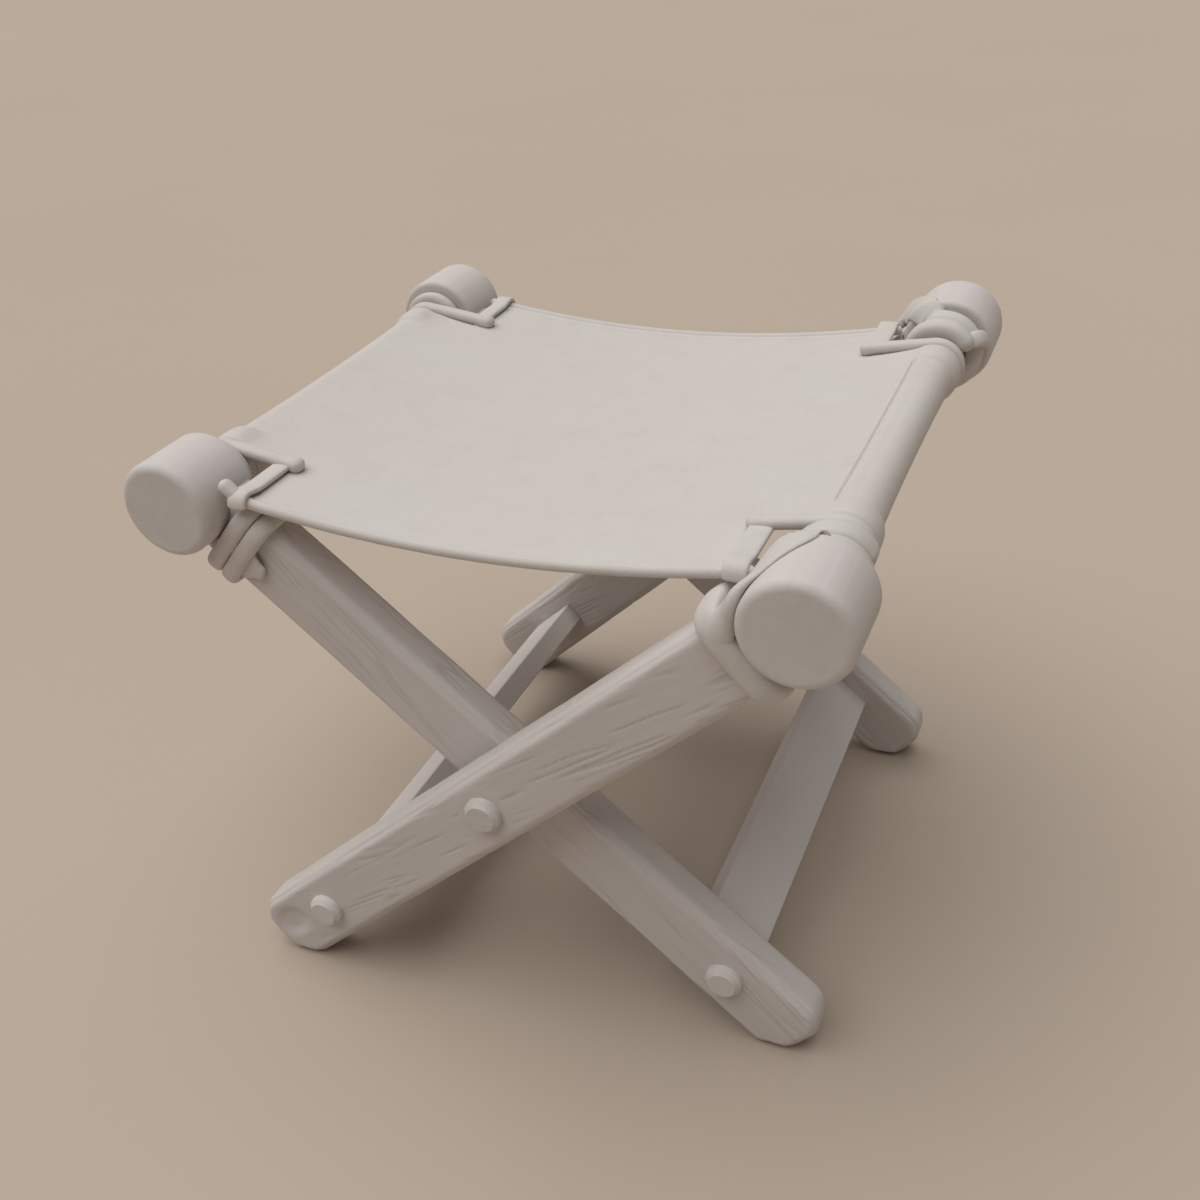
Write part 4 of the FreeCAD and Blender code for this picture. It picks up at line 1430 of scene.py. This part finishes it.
    def bend(self, strap: bpy.types.Object, section: StrapSection, points: Array, facing: Array,
             shares: Array) -> None:
        """Bends a flat strap to the round of the rail it lies on.

        Args:
            strap: The strap.
            section: Its section.
            points: Its middle line.
            facing: The direction away from the rail at each of its points.
            shares: How far to bend it there, and down over the knob's rims.
        """
        lay, side = self.corner.layout, self.corner.side
        axis = np.array((side.sign * lay.rail_x, lay.rail_z))
        mesh = strap.data
        places = rows_of_three(mesh.vertices, "co").astype(float)
        skipped = (section.cap_rings - 1) * section.sides
        for index, share in enumerate(shares):
            if share <= 0:
                continue
            rows = slice(skipped + index * section.sides, skipped + (index + 1) * section.sides)
            away = facing[index] / np.linalg.norm(facing[index])
            spokes = places[rows][:, (0, 2)] - axis
            lengths = np.linalg.norm(spokes, axis=1)
            wanted = np.linalg.norm(points[index][[0, 2]] - axis) + (places[rows] - points[index]) @ away
            past = np.abs(places[rows, 1]) - (lay.rail_ends[side] - self.rim_round)
            past = np.clip(past / self.rim_round, 0.0, 0.95)
            wanted -= self.rim_round * (1 - np.sqrt(1 - past ** 2))
            short = lay.knob_back(side) + self.past_back - np.abs(places[rows, 1])
            wanted -= np.clip(short * self.drape, 0.0, lay.knob_radius - self.neck_radius)
            scale = 1 + share * (wanted / lengths - 1)
            places[rows, 0] = axis[0] + spokes[:, 0] * scale
            places[rows, 2] = axis[1] + spokes[:, 1] * scale
        mesh.vertices.foreach_set("co", places.ravel())
        mesh.update()

    def tail_flap(self) -> bpy.types.Object:
        """The strap's free tail, a short leaf that lies on the leg's outer face below the turns.

        Returns:
            The tail.
        """
        face = self.corner.layout.leg_faces[self.corner.side]
        stops = []
        for share in np.linspace(0, 1, 22):
            down, up = (start + run * share for start, run in zip(self.tail_start, self.tail_run))
            lift = sum(rise * share ** power for power, rise in enumerate(self.tail_lift))
            stops.append((self.corner.leg_point(down, up, face + lift),
                          self.corner.leg_way(-0.15 * share, -0.12, 1.0),
                          (1.0 - self.tail_point * smoothstep(0.45, 1.0, share), 1.0)))
        section = StrapSection(self.tail_width, self.tail_thickness, 3.0, 28)
        return swept(f"tail_{self.corner.name}", section, *arrays(stops))

    def knot(self) -> bpy.types.Object:
        """Short loop that ties the turns round the neck together, on the rail's outer side.

        Returns:
            The knot.
        """
        at, lay = self.corner, self.corner.layout
        wide = self.neck_shares[0] * self.width
        middle = lay.knob_back(at.side) - wide - self.play
        top = self.neck_radius + self.play + self.neck_shares[1] * self.thickness
        stops = []
        for share in np.linspace(-1, 1, 31):
            lift = self.knot_lift - self.knot_drop * share ** 4
            stops.append(self.rail_stop(self.knot_angle + self.knot_lean * share, top + lift,
                                        middle + share * wide * self.knot_reach, 0.0, (1.0, 1.0, 0.0)))
        section = StrapSection(self.knot_width, self.knot_thickness, 2.2, 22)
        return swept(f"knot_{at.name}", section, *arrays(stops))

    def build(self) -> bpy.types.Object:
        """Builds and dresses the lashing.

        Returns:
            The lashing, riding on its frame.
        """
        pieces = [self.wound()]
        if self.tail:
            pieces.append(self.tail_flap())
        if self.knotted:
            pieces.append(self.knot())
        lashing = joined(f"leather_lashing_{self.corner.name}", pieces)
        dress(lashing, self.finishes.strap)
        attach(lashing, self.corner.side.body)
        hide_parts(f"lashing_{self.corner.name}")
        return lashing


# Floor, light and camera

@dataclass
class Studio:
    """Plain pale floor, soft light from above on the left, and the camera."""

    floor_size: float = 60.0
    floor_colour: Colour = (0.50, 0.42, 0.345)
    floor_mottle: float = 0.94
    floor_roughness: float = 0.9
    floor_specular: float = 0.1
    sky_colour: Colour = (1.0, 0.955, 0.93)
    sky_strength: float = 0.16
    back_colour: Colour = (0.50, 0.42, 0.345)
    key_way: Triple = (-0.7, -0.25, 3.0)
    key_power: float = 2.67
    key_spread: float = math.radians(80)
    key_colour: Colour = (1.0, 0.985, 0.97)
    eye: Triple = (0.37428, -0.79885, 0.77192)
    yaw: float = math.radians(-25.57)
    pitch: float = math.radians(-31.37)
    roll: float = math.radians(-4.99)
    focus_pixels: float = 1298.8
    image_pixels: float = 1200.0
    sensor: float = 36.0

    def build_floor(self) -> bpy.types.Object:
        """Lays the floor.

        Returns:
            The floor.
        """
        half = self.floor_size / 2
        outline = [(-half, -half, 0), (half, -half, 0), (half, half, 0), (-half, half, 0)]
        floor = new_piece("studio_floor", outline, [(0, 1, 2, 3)])
        sheet = NodeSheet("pale_floor")
        darker = tuple(c * self.floor_mottle for c in self.floor_colour)
        tint = sheet.mix(sheet.clouds(1.2, 3.0), self.floor_colour, darker)
        floor.data.materials.append(sheet.coat(tint, self.floor_roughness, self.floor_specular))
        return floor

    def light(self) -> None:
        """Sets the sky's even light and the soft key light."""
        world = bpy.data.worlds.new("studio_sky")
        world.use_nodes = True
        tree = world.node_tree
        sky = tree.nodes["Background"]
        sky.inputs["Color"].default_value = (*self.sky_colour, 1.0)
        sky.inputs["Strength"].default_value = self.sky_strength
        back = tree.nodes.new("ShaderNodeBackground")
        back.inputs["Color"].default_value = (*self.back_colour, 1.0)
        rays = tree.nodes.new("ShaderNodeLightPath")
        mixer = tree.nodes.new("ShaderNodeMixShader")
        seen = rays.outputs["Is Camera Ray"]
        for kind in ("Is Glossy Ray", "Is Transmission Ray"):
            either = tree.nodes.new("ShaderNodeMath")
            either.operation = "MAXIMUM"
            tree.links.new(seen, either.inputs[0])
            tree.links.new(rays.outputs[kind], either.inputs[1])
            seen = either.outputs["Value"]
        tree.links.new(seen, mixer.inputs["Fac"])
        tree.links.new(sky.outputs["Background"], mixer.inputs[1])
        tree.links.new(back.outputs["Background"], mixer.inputs[2])
        tree.links.new(mixer.outputs["Shader"], tree.nodes["World Output"].inputs["Surface"])
        bpy.context.scene.world = world
        lamp = bpy.data.lights.new("soft_key", "SUN")
        lamp.angle = self.key_spread
        lamp.energy = self.key_power
        lamp.color = self.key_colour
        key = bpy.data.objects.new("soft_key", lamp)
        bpy.context.scene.collection.objects.link(key)
        key.location = self.key_way
        key.rotation_euler = Vector(self.key_way).to_track_quat("Z", "Y").to_euler()

    def build_camera(self) -> bpy.types.Object:
        """Places the camera at the photograph's viewing angle.

        Returns:
            The camera.
        """
        ahead = Vector((math.sin(self.yaw) * math.cos(self.pitch), math.cos(self.yaw) * math.cos(self.pitch),
                        math.sin(self.pitch)))
        level = Vector((math.cos(self.yaw), -math.sin(self.yaw), 0.0))
        above = level.cross(ahead)
        right = level * math.cos(self.roll) + above * math.sin(self.roll)
        up = above * math.cos(self.roll) - level * math.sin(self.roll)
        data = bpy.data.cameras.new("viewpoint")
        data.sensor_width = self.sensor
        data.lens = self.focus_pixels / self.image_pixels * self.sensor
        data.clip_start = 0.01
        camera = bpy.data.objects.new("viewpoint", data)
        bpy.context.scene.collection.objects.link(camera)
        turn = Matrix((right, up, -ahead)).transposed().to_4x4()
        camera.matrix_world = Matrix.Translation(self.eye) @ turn
        bpy.context.scene.camera = camera
        return camera

    def build(self) -> None:
        """Sets up floor, light, camera and the plain view."""
        self.build_floor()
        self.light()
        self.build_camera()
        bpy.context.scene.view_settings.view_transform = "Standard"


def report(pieces: Sequence[bpy.types.Object]) -> None:
    """Logs each piece with its number of faces."""
    for piece in pieces:
        LOG.info("%s: %d faces", piece.name, len(piece.data.polygons))


# The right ties are shorter and broader, and the back right strap has a thicker neck and a knot
RIGHT_TIE = {"bar_reach": 53 * MM, "strap_inset": 47 * MM, "strap_width": 15 * MM}
BACK_STRAP = {"neck_shares": (1.32, 1.55), "crest": 96.0, "foot": 114.0, "knotted": True}


def main() -> None:
    """Builds the stool's looks in order."""
    logging.basicConfig(level=logging.INFO, format="%(message)s")
    layout = Layout.read()
    finishes = Finishes.make(layout)
    Studio().build()
    report(CrossedFrames(layout, finishes).build())
    PivotPins(finishes).dress()
    report(Sling(layout, finishes).build())
    for corner in corners(layout):
        reach = RIGHT_TIE if corner.side is Side.RIGHT else {}
        report([CornerTie(corner, finishes, **reach).build()])
        loose = (corner.side, corner.end) == (Side.LEFT, End.FRONT)
        strap = BACK_STRAP if (corner.side, corner.end) == (Side.RIGHT, End.BACK) else {}
        report([Lashing(corner, finishes, tail=loose, **strap).build()])


if __name__ == "__main__":
    main()
